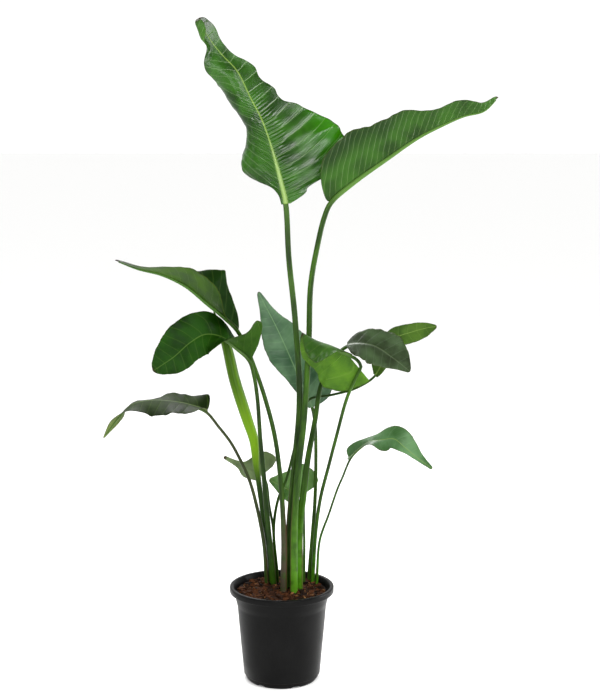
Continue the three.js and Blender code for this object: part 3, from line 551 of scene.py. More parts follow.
@dataclass(frozen=True)
class LeafFinish:
    """Living leaf of a waxy, leathery kind. The wax gives a clear gloss on the upper face, and
    the parallel side veins show as pale lines with fine ones between them. Lengths are in mm."""

    upper_dark: str = "#14290a"
    upper_light: str = "#274d14"
    under_dark: str = "#23420f"
    under_light: str = "#3a6120"
    vein: str = "#6f8f3f"
    midrib: str = "#6b8440"
    margin: str = "#3a431c"
    dry: str = "#33271a"
    through: str = "#5a9a10"
    # Painted light: the outer colour is laid over the outer part of each half, by its run out from the
    # midrib, for light that falls there. A brighter outer colour is a painted glow of backlight, and a darker
    # one is painted shade.
    outer: str = "#2c5a12"
    outer_painted_light_share: float = 0.0
    outer_painted_light_run: tuple[float, float] = (50.0, 130.0)
    upper_roughness: float = 0.32
    under_roughness: float = 0.48
    specular: float = 0.25
    translucency: float = 0.15
    vein_spacing: float = 21.0
    vein_width: float = 1.5
    vein_strength: float = 0.15
    fine_spacing: float = 3.5
    fine_width: float = 1.0
    fine_strength: float = 0.15
    waver: float = 2.4
    waver_size: float = 30.0
    patch_size: float = 55.0
    grain_size: float = 1.2
    cockle: float = 0.9
    cockle_size: float = 32.0
    rib_pleat: float = 0.0
    rib_pleat_spacing: float = 7.5
    rib_pleat_run: float = 46.0
    rib_pleat_end: float = 280.0
    upper_relief: tuple[float, float] = (-0.28, 0.1)
    under_relief: tuple[float, float] = (0.4, 0.16)
    grain_height: float = 0.06
    relief_strength: float = 0.8
    relief_depth: float = 1.0
    roughness_range: tuple[float, float] = (-0.04, 0.08)
    dry_roughness: float = 0.3
    through_share: float = 0.6

    def material(self, name: str, side: BladeSide) -> Material:
        """The finish of one face of the blade."""
        upper = side is BladeSide.UPPER
        dark, light = (self.upper_dark, self.upper_light) if upper else (self.under_dark, self.under_light)
        roughness = self.upper_roughness if upper else self.under_roughness
        vein_height, fine_height = self.upper_relief if upper else self.under_relief
        material, tree = new_material(f"{name}_{side.value}_face")
        coordinates = placed(tree)
        veins = add(tree, "ShaderNodeUVMap", uv_map="veins").outputs[0]
        run, start, _ = add(tree, "ShaderNodeSeparateXYZ", {0: veins}).outputs
        waver = noisy(tree, coordinates, per_metre(self.waver_size), 2)
        shift = calculate(tree, "MULTIPLY_ADD", waver, self.waver * MM, -0.5 * self.waver * MM)
        phase = calculate(tree, "ADD", start, shift)
        main = line_mask(tree, phase, self.vein_spacing, self.vein_width)
        fine = line_mask(tree, phase, self.fine_spacing, self.fine_width)
        patches = noisy(tree, coordinates, per_metre(self.patch_size), 3)
        rib, dry = layer(tree, "midrib"), layer(tree, "dry")
        near, far = (distance * MM for distance in self.outer_painted_light_run)
        colour = coated(
            tree,
            blended(tree, ranged(tree, patches, 0.32, 0.68, 0.0, 1.0), dark, light),
            # painted light on the outer parts of the blade: a glow of backlight where the outer colour is
            # brighter, shade where it is darker
            (ranged(tree, run, near, far, 0.0, self.outer_painted_light_share), self.outer),
            (multiplied(tree, fine, self.fine_strength), light),
            (multiplied(tree, main, self.vein_strength), self.vein),
            (layer(tree, "edge"), self.margin),
            (rib, self.midrib),
            (dry, self.dry),
        )
        swing = calculate(tree, "SINE", multiplied(tree, phase, math.tau / (self.rib_pleat_spacing * MM)))
        swing = multiplied(tree, swing, ranged(tree, patches, 0.35, 0.6, 0.3, 1.0))
        reach, end = self.rib_pleat_run * MM, self.rib_pleat_end * MM
        beside = multiplied(
            tree,
            ranged(tree, run, 0.3 * reach, reach, self.rib_pleat, 0.0),
            ranged(tree, phase, 0.5 * end, end, 1.0, 0.0),
            ranged(tree, rib, 0.0, 0.6, 1.0, 0.0),
        )
        height = summed(
            tree,
            (main, vein_height),
            (fine, fine_height),
            (noisy(tree, coordinates, per_metre(self.grain_size), 2), self.grain_height),
            (noisy(tree, coordinates, per_metre(self.cockle_size), 1.5), self.cockle),
            (swing, beside),
        )
        relief = bumped(tree, height, self.relief_strength, self.relief_depth)
        least, most = (roughness + change for change in self.roughness_range)
        gloss = summed(tree, (dry, self.dry_roughness), start=ranged(tree, patches, 0.3, 0.7, least, most))
        skin = skinned(tree, colour, gloss, self.specular, WAX_IOR, relief)
        glow = blended(tree, self.through_share, colour, self.through)
        shown(tree, lit_through(tree, skin, self.translucency, glow, relief))
        return material


@dataclass(frozen=True)
class StalkFinish:
    """Smooth living stalk with a thin wax. Fine streaks run along it, its foot has a green of
    its own, and the edges of its sheath dry to a reddish brown. The foot's heights are in
    metres, and patterns are in mm."""

    green: str = "#152b06"
    pale: str = "#31520d"
    foot: str = "#2a4d08"
    sheath: str = "#3f2618"
    rib: str = "#3f5a26"
    foot_top: float = 0.42
    foot_share: float = 0.5
    foot_from: float = 0.2
    blotch_size: float = 22.0
    roughness: float = 0.38
    dry_roughness: float = 0.25
    relief_depth: float = 0.5

    def material(self, name: str) -> Material:
        """The finish of the stalk and its midrib."""
        material, tree = new_material(f"{name}_skin")
        lengthwise = skin_map(tree, 9.0, 5.0)
        streaks = ranged(tree, noisy(tree, lengthwise, 2.0, 4), 0.35, 0.7, 0.0, 1.0)
        low = ranged(tree, height_of(tree), self.foot_from, self.foot_top, self.foot_share, 0.0)
        blotches = noisy(tree, placed(tree), per_metre(self.blotch_size), 3)
        blotches = ranged(tree, blotches, 0.3, 0.6, 0.4, 1.3)
        sheath = layer(tree, "sheath")
        colour = coated(
            tree,
            blended(tree, streaks, self.green, self.pale),
            (multiplied(tree, low, blotches), self.foot),
            (layer(tree, "rib"), self.rib),
            (sheath, self.sheath),
        )
        relief = bumped(tree, noisy(tree, lengthwise, 6.0, 2), 0.5, self.relief_depth)
        gloss = summed(tree, (sheath, self.dry_roughness), start=self.roughness)
        shown(tree, skinned(tree, colour, gloss, STALK_SPECULAR, WAX_IOR, relief))
        return material


@dataclass(frozen=True)
class YoungLeafFinish:
    """Soft young blade, still rolled: bright and a little lit through, with streaks along it."""

    name: str = "young_leaf"
    dark: str = "#2f500b"
    light: str = "#4f7211"
    bright: str = "#6c9510"
    stalk: str = "#203a0e"
    margin: str = "#1c350a"
    bright_below: tuple[float, float] = (0.55, 0.7)
    bright_share: float = 0.85
    roughness: float = 0.42
    relief_depth: float = 0.6
    translucency: float = 0.12

    def material(self) -> Material:
        """The finish of the rolled leaf and its stalk."""
        material, tree = new_material(f"{self.name}_skin")
        streaks = noisy(tree, skin_map(tree, 9.0, 2.0), 1.0, 5)
        colour = coated(
            tree,
            blended(tree, ranged(tree, streaks, 0.3, 0.7, 0.0, 1.0), self.dark, self.light),
            (ranged(tree, height_of(tree), *self.bright_below, self.bright_share, 0.0), self.bright),
        )
        colour = blended(tree, layer(tree, "rolled"), self.stalk, colour)
        colour = blended(tree, layer(tree, "margin"), colour, self.margin)
        relief = bumped(tree, streaks, 0.5, self.relief_depth)
        skin = skinned(tree, colour, self.roughness, STALK_SPECULAR, WAX_IOR, relief)
        shown(tree, lit_through(tree, skin, self.translucency, colour))
        return material


@dataclass(frozen=True)
class PotFinish:
    """Injection-moulded polypropylene, dyed black. The mould leaves it satin, with a fine even
    grain, and handling leaves it a little dusty and scuffed. Sizes are in mm."""

    name: str = "moulded_polypropylene"
    black: str = "#0a0a0a"
    grey: str = "#121212"
    dust: str = "#221e19"
    cloud_size: float = 60.0
    speck_size: float = 4.0
    grain_size: float = 0.9
    grain_depth: float = 0.3
    roughness: tuple[float, float] = (0.3, 0.42)
    specular: float = 0.07

    def material(self) -> Material:
        """The finish of the pot."""
        material, tree = new_material(self.name)
        coordinates = placed(tree)
        cloud = noisy(tree, coordinates, per_metre(self.cloud_size), 4)
        specks = noisy(tree, coordinates, per_metre(self.speck_size), 6)
        grain = noisy(tree, coordinates, per_metre(self.grain_size), 2)
        colour = coated(
            tree,
            blended(tree, ranged(tree, cloud, 0.35, 0.7, 0.0, 0.5), self.black, self.grey),
            (ranged(tree, specks, 0.62, 0.78, 0.0, 0.12), self.dust),
        )
        gloss = ranged(tree, cloud, 0.3, 0.7, *self.roughness)
        relief = bumped(tree, grain, 0.25, self.grain_depth)
        shown(tree, skinned(tree, colour, gloss, self.specular, POLYPROPYLENE_IOR, relief))
        return material


@dataclass(frozen=True)
class BarkFinish:
    """Composted bark and coir, dry on top: matt, from near black to a warm reddish brown. Sizes
    are in mm."""

    name: str
    dark: str = "#0f0703"
    middle: str = "#3d200c"
    light: str = "#946a3e"
    fleck_size: float = 3.0
    fleck_depth: float = 0.8
    wander: float = 0.5
    roughness: float = 0.85
    specular: float = 0.12

    def material(self) -> Material:
        """The finish of the chips, whose tone layer sets each one's colour."""
        material, tree = new_material(self.name)
        flecks = noisy(tree, placed(tree), per_metre(self.fleck_size), 5)
        wander = calculate(tree, "MULTIPLY_ADD", flecks, self.wander, -0.5 * self.wander)
        level = calculate(tree, "ADD", layer(tree, "tone"), wander)
        colour = coated(
            tree,
            blended(tree, ranged(tree, level, 0.0, 0.55, 0.0, 1.0), self.dark, self.middle),
            (ranged(tree, level, 0.55, 1.1, 0.0, 1.0), self.light),
        )
        relief = bumped(tree, flecks, 0.7, self.fleck_depth)
        shown(tree, skinned(tree, colour, self.roughness, self.specular, PLAIN_IOR, relief))
        return material


@dataclass(frozen=True)
class PaperFinish:
    """Matt seamless studio paper, near white."""

    colour: str = "#f6f6f5"

    def material(self) -> Material:
        """The finish of the floor."""
        material, tree = new_material("studio_paper")
        shown(tree, skinned(tree, linear(self.colour), 0.9, 0.5, PLAIN_IOR))
        return material


# Mesh helpers


def loft(bm: BMesh, rings: Sequence[Sequence[Vector]]) -> list[list[BMVert]]:
    """Extrudes a circle from ring to ring and closes both ends.

    Args:
        bm: the mesh to build in.
        rings: points of each ring, the same number in each.

    Returns:
        The vertices of each ring.
    """
    made = bmesh.ops.create_circle(bm, segments=len(rings[0]), radius=1.0)
    loop = list(made["verts"])
    edges = [edge for edge in bm.edges if edge.verts[0] in loop and edge.verts[1] in loop]
    result = [loop]
    for vert, point in zip(loop, rings[0]):
        vert.co = point
    for ring in rings[1:]:
        grown = bmesh.ops.extrude_edge_only(bm, edges=edges)["geom"]
        edges = [item for item in grown if isinstance(item, BMEdge)]
        order = {vert: index for index, vert in enumerate(result[-1])}
        fresh: list[BMVert] = [result[-1][0]] * len(ring)
        for vert in (item for item in grown if isinstance(item, BMVert)):
            before = next(edge.other_vert(vert) for edge in vert.link_edges if edge.other_vert(vert) in order)
            fresh[order[before]] = vert
        for vert, point in zip(fresh, ring):
            vert.co = point
        edges = [edge for edge in edges if edge.verts[0] in fresh and edge.verts[1] in fresh]
        result.append(fresh)
    for end in (result[0], result[-1]):
        bmesh.ops.contextual_create(bm, geom=end)
    bmesh.ops.recalc_face_normals(bm, faces=bm.faces)
    return result


def finished(
    name: str,
    bm: BMesh,
    materials: Sequence[Material],
    stands_for: str,
    smooth: bool = True,
) -> Object:
    """Makes a piece of the plant from a mesh and fixes it to the model.

    Args:
        name: the piece's name.
        bm: its mesh, in metres, which is freed.
        materials: its materials, by face index.
        stands_for: the solid that it replaces.
        smooth: whether its faces are shaded smoothly.

    Returns:
        The new object.
    """
    mesh = bpy.data.meshes.new(name)
    bm.to_mesh(mesh)
    bm.free()
    mesh.polygons.foreach_set("use_smooth", [smooth] * len(mesh.polygons))
    piece = bpy.data.objects.new(name, mesh)
    bpy.context.scene.collection.objects.link(piece)
    for material in materials:
        mesh.materials.append(material)
    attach(piece, "root")
    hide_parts(stands_for)
    return piece


def lay_out(bm: BMesh, layer: object, places: dict[BMVert, tuple[float, float]]) -> None:
    """Writes each vertex's place on a flat map into a map layer."""
    for face in bm.faces:
        for corner in face.loops:
            corner[layer].uv = places[corner.vert]


def tube(rings: Sequence[Sequence[Spot]], keys: Sequence[str]) -> BMesh:
    """Makes a closed tube.

    Args:
        rings: for each point of each ring, its place in millimetres, its place on the skin's
            map and its values.
        keys: names of the layers that the values go to.

    Returns:
        The mesh, in metres.
    """
    bm = bmesh.new()
    skin = bm.loops.layers.uv.new("skin")
    layers = [bm.verts.layers.float.new(key) for key in keys]
    places = {}
    for verts, ring in zip(loft(bm, [[point * MM for point, _, _ in ring] for ring in rings]), rings):
        for vert, (_, place, values) in zip(verts, ring):
            places[vert] = place
            for layer, value in zip(layers, values):
                vert[layer] = value
    lay_out(bm, skin, places)
    return bm


# The leaves


@dataclass(frozen=True)
class BladeDetail:
    """What sets one blade's surface apart: relief, ruffled and dry margins, in millimetres."""

    pleat: float = 0.5
    pleat_fade: float = 0.0
    ruffle: float = 1.5
    dry_tip: float = 14.0
    dry_edge: float = 0.25
    rib_share: float = 0.45
    vein_lean: tuple[float, float] = (0.32, 0.32)


@dataclass(frozen=True)
class Row:
    """What is the same along one row of a blade; widths are those of its left and right half."""

    place: float
    length: float
    origin: Vector
    along: Vector
    up: Vector
    across: Vector
    strip: float
    widths: tuple[float, ...]


@dataclass
class Blade:
    """An open blade: a waved sheet with side veins, a channel over the midrib and thin margins."""

    plan: LeafPlan
    detail: BladeDetail
    finish: LeafFinish
    seed: int
    row_step: float = 2.8
    column_step: float = 3.6
    fewest_rows: int = 40
    fewest_columns: int = 10
    thickness: float = 0.8
    strip_margin: float = 0.8
    strip_columns: int = 4
    narrowest: float = 1.5
    lobe_end: float = 0.3
    tip_round: float = 0.02
    vein_bend: float = 0.0016
    rise: float = 0.3
    sag: float = 0.16
    spot_scale: float = 0.045
    margin_tint: float = 0.75
    margin_width: float = 1.6

    def __post_init__(self) -> None:
        """Measures the blade and draws where its waves start."""
        draw = random.Random(self.seed)
        self.phases = [draw.uniform(0, math.tau) for _ in range(8)]
        self.spine = Spine(self.plan.spine)
        self.neck = self.spine.length_at(self.plan.blade_from)
        self.length = self.spine.length - self.neck
        self.widest = [max(width for _, width in half.outline) for half in self.plan.halves]

    def build(self) -> Object:
        """Makes the blade's piece."""
        rows = max(self.fewest_rows, round(self.length / self.row_step))
        half_columns = max(self.fewest_columns, round(max(self.widest) / self.column_step))
        columns = 2 * half_columns + self.strip_columns
        strip_end = self.strip_columns / columns
        lines = [self._row(index / rows) for index in range(rows + 1)]
        bm = bmesh.new()
        veins = bm.loops.layers.uv.new("veins")
        midrib, edge, dry = (bm.verts.layers.float.new(key) for key in ("midrib", "edge", "dry"))
        bmesh.ops.create_grid(bm, x_segments=columns, y_segments=rows, size=1.0)
        mapped = {}
        for vert in bm.verts:
            x, side = vert.co.x, int(vert.co.x >= 0)
            row = lines[round((vert.co.y + 1) / 2 * rows)]
            share = max(0.0, (abs(x) - strip_end) / (1 - strip_end))
            if abs(x) <= strip_end:
                point, run = self._strip_point(row, x / strip_end)
            else:
                point, run = self._half_point(row, side, share)
            vert.co = point * MM
            margin = (1 - share) * row.widths[side]
            rib = row.strip * self.detail.rib_share * (1 - 0.5 * smoothstep(0.0, 0.5, row.place))
            vert[midrib] = 1 - smoothstep(0.6, 1.3, run / rib)
            vert[edge] = self.margin_tint * (1 - smoothstep(0.0, self.margin_width, margin))
            vert[dry] = self._dryness(point, self.length - row.length, margin)
            mapped[vert] = (run * MM, self._vein(row.length, run, side) * MM)
        lay_out(bm, veins, mapped)
        materials = [self.finish.material(self.plan.name, side) for side in BladeSide]
        name = f"{self.plan.name}_blade"
        piece = finished(f"{name}_detail", bm, materials, name)
        wall = piece.modifiers.new("thickness", "SOLIDIFY")
        wall.thickness = self.thickness * MM
        wall.offset = 0.0
        wall.material_offset = 1
        wall.material_offset_rim = 1
        return piece

    def _row(self, place: float) -> Row:
        """One row, at a place from the blade's base to its tip."""
        rib_half, rib_depth = self.plan.rib_size(place)
        strip = rib_half + self.strip_margin
        length = place * self.length
        face = keyed_direction(self.plan.face, place)
        origin, along, up, across = self.spine.axes(self.neck + length, face)
        tip = min(1.0, (1 - place) / self.tip_round)
        rounded = math.sqrt(max(0.0, 1 - (1 - tip) ** 2))
        widths = []
        for index, half in enumerate(self.plan.halves):
            uneven = 1 + self._waves(MARGIN_WAVES, place, self.phases[index:4:2])
            width = smoothly_keyed(half.outline, place) * uneven * (0.3 + 0.7 * rounded)
            widths.append(max(width, strip + self.narrowest * rounded + 0.1))
        origin = origin + up * (rib_depth / 2 + self.rise)
        return Row(place, length, origin, along, up, across, strip, tuple(widths))

    def _strip_point(self, row: Row, x: float) -> tuple[Vector, float]:
        """Point of the channel over the midrib, x from -1 to 1 across it, and its run."""
        sag = self.sag * row.strip * (1 - x * x)
        return row.origin + row.across * (x * row.strip) - row.up * sag, abs(x) * row.strip

    def _half_point(self, row: Row, side: int, share: float) -> tuple[Vector, float]:
        """Point of one half of the blade, and how far it is from the midrib."""
        half, wave, place = self.plan.halves[side], self.plan.wave, row.place
        width = row.widths[side] - row.strip
        run = width * share
        across, up = self._section(half, place, width, run)
        reach = run / self.widest[side]
        back = half.lobe * max(0.0, 1 - place / self.lobe_end) ** 2 * reach
        ripple = wave.height * reach**2 * math.sin(math.tau * (wave.count * place + wave.start))
        ruffle = self._waves(RUFFLE_WAVES, place, self.phases[4 + 2 * side :])
        ruffle *= self.detail.ruffle * reach**3
        pillow = abs(math.sin(math.pi * self._vein(row.length, run, side) / self.finish.vein_spacing)) - 0.5
        pleat = self.detail.pleat * (1 - self.detail.pleat_fade * smoothstep(0.25, 0.5, place)) * pillow
        pleat *= smoothstep(0, 10, run) * smoothstep(0, 6, width - run)
        sideways = (2 * side - 1) * (row.strip + across)
        point = row.origin + row.across * sideways + row.up * (up + ripple + ruffle + pleat)
        return point - row.along * back, row.strip + run

    @staticmethod
    def _waves(waves: Keys, place: float, starts: Sequence[float]) -> float:
        """Sum of waves along the blade, each a height and a turn, from where each starts."""
        return sum(height * math.sin(turn * place + start) for (height, turn), start in zip(waves, starts))

    @staticmethod
    def _section(half: HalfPlan, place: float, width: float, run: float) -> tuple[float, float]:
        """How far across and up a half is at a run out from the midrib's strip."""
        fold = math.radians(softly_keyed(half.fold, place))
        bend = math.radians(softly_keyed(half.curl, place)) / width
        if abs(bend * width) < 1e-6:
            return run * math.cos(fold), run * math.sin(fold)
        turn = fold + bend * run
        return (math.sin(turn) - math.sin(fold)) / bend, (math.cos(fold) - math.cos(turn)) / bend

    def _vein(self, length: float, run: float, side: int) -> float:
        """Where on the midrib the side vein starts that passes a point of the blade."""
        return length - self.detail.vein_lean[side] * run - self.vein_bend * run * run

    def _dryness(self, point: Vector, from_tip: float, margin: float) -> float:
        """How brown the blade is at a point: all of its tip, and spots of its margin."""
        tip = 1 - smoothstep(0.5, 1.0, from_tip / self.detail.dry_tip)
        spot = smoothstep(0.18, 0.4, noise.noise(point * self.spot_scale))
        return min(1.0, tip + self.detail.dry_edge * spot * (1 - smoothstep(0.6, 2.6, margin)))


@dataclass(frozen=True)
class StalkDetail:
    """What sets one stalk apart: how far up its sheath goes and how wide its edges are, in mm."""

    sheath_top: float = 240.0
    sheath_width: float = 1.6
    sheath_dry: float = 0.8


@dataclass
class Stalk:
    """A stalk with the midrib that it goes on as: a D-shaped tube with a shallow groove on top,
    and two raised edges where its sheath clasps the younger stalks."""

    plan: LeafPlan
    detail: StalkDetail
    finish: StalkFinish
    sides: int = 28
    ring_step: float = 8.0
    taper: float = 1.5
    groove_depth: float = 0.12
    edge_angle: float = 1.0
    edge_spread: float = 0.2
    dry_spread: float = 0.22
    skin_width: float = 0.06

    def _size(self, place: float) -> tuple[float, float]:
        """Half width and depth at a place, 0 to 1 on the stalk and 1 to 2 on the midrib."""
        if place > 1:
            return self.plan.rib_size(place - 1)
        share = (1 - place) ** self.taper
        return tuple(neck + (foot - neck) * share for neck, foot in zip(self.plan.neck, self.plan.foot))

    def build(self) -> Object:
        """Makes the stalk's piece."""
        spine = Spine(self.plan.spine)
        neck = spine.length_at(self.plan.blade_from)
        rib = spine.length - neck
        steps, rib_steps = (round(part / self.ring_step) for part in (neck, rib))
        stations = [(neck * i / steps, i / steps) for i in range(steps)]
        stations += [(neck + rib * i / rib_steps, 1 + i / rib_steps) for i in range(rib_steps)]
        rings = []
        for length, place in stations:
            axes = spine.axes(length, keyed_direction(self.plan.face, max(0.0, place - 1)))
            size = self._size(place)
            wing = self.detail.sheath_width * (1 - smoothstep(0.55, 1.0, length / self.detail.sheath_top))
            ring = []
            for side in range(self.sides):
                angle = math.tau * side / self.sides
                turn = min(angle, math.tau - angle)
                point = self._outline(axes, size, angle, wing * self._near_edge(turn, self.edge_spread))
                dry = self.detail.sheath_dry * self._near_edge(turn, self.dry_spread) * min(1.0, wing)
                skin = (turn / math.pi * self.skin_width, length * MM)
                ring.append((point, skin, (dry, smoothstep(0.96, 1.1, place))))
            rings.append(ring)
        bm = tube(rings, ("sheath", "rib"))
        name = f"{self.plan.name}_stalk"
        skin = self.finish.material(self.plan.name.replace("_leaf", "_stalk"))
        return finished(f"{name}_detail", bm, [skin], name)

    def _near_edge(self, turn: float, spread: float) -> float:
        """1 at the sheath's edge, falling off to both sides of it."""
        return math.exp(-(((turn - self.edge_angle) / spread) ** 2))

    def _outline(
        self, axes: tuple[Vector, ...], size: tuple[float, float], angle: float, bulge: float
    ) -> Vector:
        """Point of the stalk's section at an angle from its upper side."""
        origin, _, up, across = axes
        groove = self.groove_depth * max(0.0, math.cos(angle)) ** 6
        sideways = math.sin(angle) * size[0]
        height = (0.5 - ((1 - math.cos(angle)) / 2) ** 1.3 - groove) * size[1]
        stretch = 1 + bulge / (math.hypot(sideways, height) or 1.0)
        return origin + across * (sideways * stretch) + up * (height * stretch)


@dataclass
class RolledLeaf:
    """The newest leaf: a round stalk that swells into a roll with its outer margin as a step."""

    plan: RolledPlan
    finish: YoungLeafFinish
    sides: int = 56
    rings: int = 170
    seam_turn: float = 2.2
    twist: float = 1.6
    step_from: float = 0.94
    margin_at: float = 0.985
    margin_spread: float = 0.02
    soft_until: float = 0.97
    soft_reach: float = 0.03

    def build(self) -> Object:
        """Makes the rolled leaf's piece."""
        plan = self.plan
        spine = Spine(plan.spine)
        face = Vector(plan.face)
        rings = []
        for index in range(self.rings + 1):
            place = index / self.rings
            length = spine.length * place
            origin, _, up, across = spine.axes(length, face)
            girth = keyed(plan.girth, place)
            if place < self.soft_until:
                girth = softly_keyed(plan.girth, place, self.soft_reach)
            rolled = smoothstep(*plan.roll_from, place)
            ring = []
            for side in range(self.sides):
                share = side / self.sides
                angle = math.tau * share + self.seam_turn + self.twist * rolled * (place - 0.5)
                step = plan.roll_step * rolled * (share - smoothstep(self.step_from, 1.0, share))
                radius = girth * (1 - step)
                point = origin + across * (math.sin(angle) * radius) + up * (math.cos(angle) * radius)
                margin = rolled * math.exp(-(((share - self.margin_at) / self.margin_spread) ** 2))
                ring.append((point, (min(share, 1 - share), length * MM), (rolled, margin)))
            rings.append(ring)
        bm = tube(rings, ("rolled", "margin"))
        return finished(f"{plan.name}_detail", bm, [self.finish.material()], plan.name)


# The pot and the potting mix


@dataclass
class Pot:
    """The nursery pot: a turned wall, rim, collar and foot ring with drain holes and notches."""

    finish: PotFinish
    segments: int = 168
    foot_inner: float = 74.0
    foot_outer: float = 80.0
    disc: float = 28.0
    floor: float = 4.0
    floor_thickness: float = 2.0
    wall: float = 1.6
    drains: int = 6
    hole_radius: float = 6.0
    hole_circle: float = 54.0
    hole_depth: float = 16.0
    notch_circle: float = 78.0
    notch_length: float = 20.0
    notch_top: tuple[float, float] = (8.0, 5.5)
    notch_bottom: tuple[float, float] = (11.0, -1.0)
    notch_turn: float = 24.0
    sharp_angle: float = 35.0

    def _outside(self) -> list[tuple[float, float]]:
        """Outer profile from the foot ring to the rim's inner lip, with its small corners rounded."""
        return [
            (self.foot_outer - 0.6, 0), (self.foot_outer, 0.5), (84, 6), (84.6, 11.4), (85.2, 12.4),
            (87.3, 13.4), (88, 14.4), (91.4, 50), (95, 88), (98.7, 130), (102.2, 171.4), (102.4, 173),
            (102.9, 177.4), (103.5, 178.6), (105.4, 187.6), (106.1, 189.4), (107.7, 205.6),
            (108.4, 207.1), (110, 207.5), (119, 207.7), (119.7, 208.4), (120, 210), (120, 219),
            (119.6, 220.6), (118.4, 221.7), (116.8, 222), (113.6, 222), (112.2, 221.5), (110.5, 219.5),
        ]

    def _inside(self) -> list[tuple[float, float]]:
        """Inner profile from the rim down to the middle of the floor."""
        top = self.floor + self.floor_thickness
        wall = [(radius - self.wall, height) for radius, height in self._outside()[5:17]]
        return [*reversed(wall), (self.foot_outer + 3, top + 1.4), (self.foot_outer - 2, top),
                (self.disc + 2, top), (self.disc - 1, self.floor_thickness)]

    def build(self) -> Object:
        """Makes the pot's piece."""
        under = [(self.disc, 0), (self.disc + 0.6, 0.3), (self.disc + 3, self.floor),
                 (self.foot_inner - 3, self.floor), (self.foot_inner - 0.6, 0.3), (self.foot_inner, 0)]
        profile = [(0.0, 0.0), *under, *self._outside(), *self._inside(), (0.0, self.floor_thickness)]
        bm = bmesh.new()
        verts = [bm.verts.new((radius * MM, 0, height * MM)) for radius, height in profile]
        edges = [bm.edges.new(pair) for pair in zip(verts, verts[1:])]
        bmesh.ops.spin(
            bm, geom=[*verts, *edges], cent=(0, 0, 0), axis=(0, 0, 1),
            angle=math.tau, steps=self.segments, use_merge=True,
        )
        bmesh.ops.remove_doubles(bm, verts=bm.verts, dist=1e-6)
        bmesh.ops.recalc_face_normals(bm, faces=bm.faces)
        piece = finished("pot_detail", bm, [self.finish.material()], "pot")
        self._cut(piece)
        return piece

    def _cut(self, piece: Object) -> None:
        """Cuts the drain holes and the notches through the foot ring."""
        bm = bmesh.new()
        radius, depth = self.hole_radius * MM, self.hole_depth * MM
        for index in range(self.drains):
            turn = index * math.tau / self.drains
            hole = bmesh.ops.create_cone(
                bm, cap_ends=True, segments=32, radius1=radius, radius2=radius, depth=depth
            )["verts"]
            bmesh.ops.translate(bm, verts=hole, vec=Vector((self.hole_circle, 0, self.floor)) * MM)
            bmesh.ops.rotate(bm, verts=hole, cent=(0, 0, 0), matrix=Matrix.Rotation(turn, 3, "Z"))
            notch = bmesh.ops.create_cube(bm, size=1.0)["verts"]
            for vert in notch:
                half, height = self.notch_top if vert.co.z > 0 else self.notch_bottom
                place = self.notch_length * vert.co.y - self.notch_circle
                vert.co = Vector((math.copysign(half, vert.co.x), place, height)) * MM
            matrix = Matrix.Rotation(math.radians(self.notch_turn) + turn, 3, "Z")
            bmesh.ops.rotate(bm, verts=notch, cent=(0, 0, 0), matrix=matrix)
        bmesh.ops.recalc_face_normals(bm, faces=bm.faces)
        mesh = bpy.data.meshes.new("drain_cutter")
        bm.to_mesh(mesh)
        bm.free()
        cutter = bpy.data.objects.new("drain_cutter", mesh)
        bpy.context.scene.collection.objects.link(cutter)
        cut = piece.modifiers.new("drains", "BOOLEAN")
        cut.object = cutter
        cut.operation = "DIFFERENCE"
        cut.solver = "EXACT"
        bpy.context.view_layer.update()
        evaluated = piece.evaluated_get(bpy.context.evaluated_depsgraph_get())
        piece.data = bpy.data.meshes.new_from_object(evaluated)
        piece.modifiers.clear()
        bpy.data.objects.remove(cutter)
        piece.data.set_sharp_from_angle(angle=math.radians(self.sharp_angle))


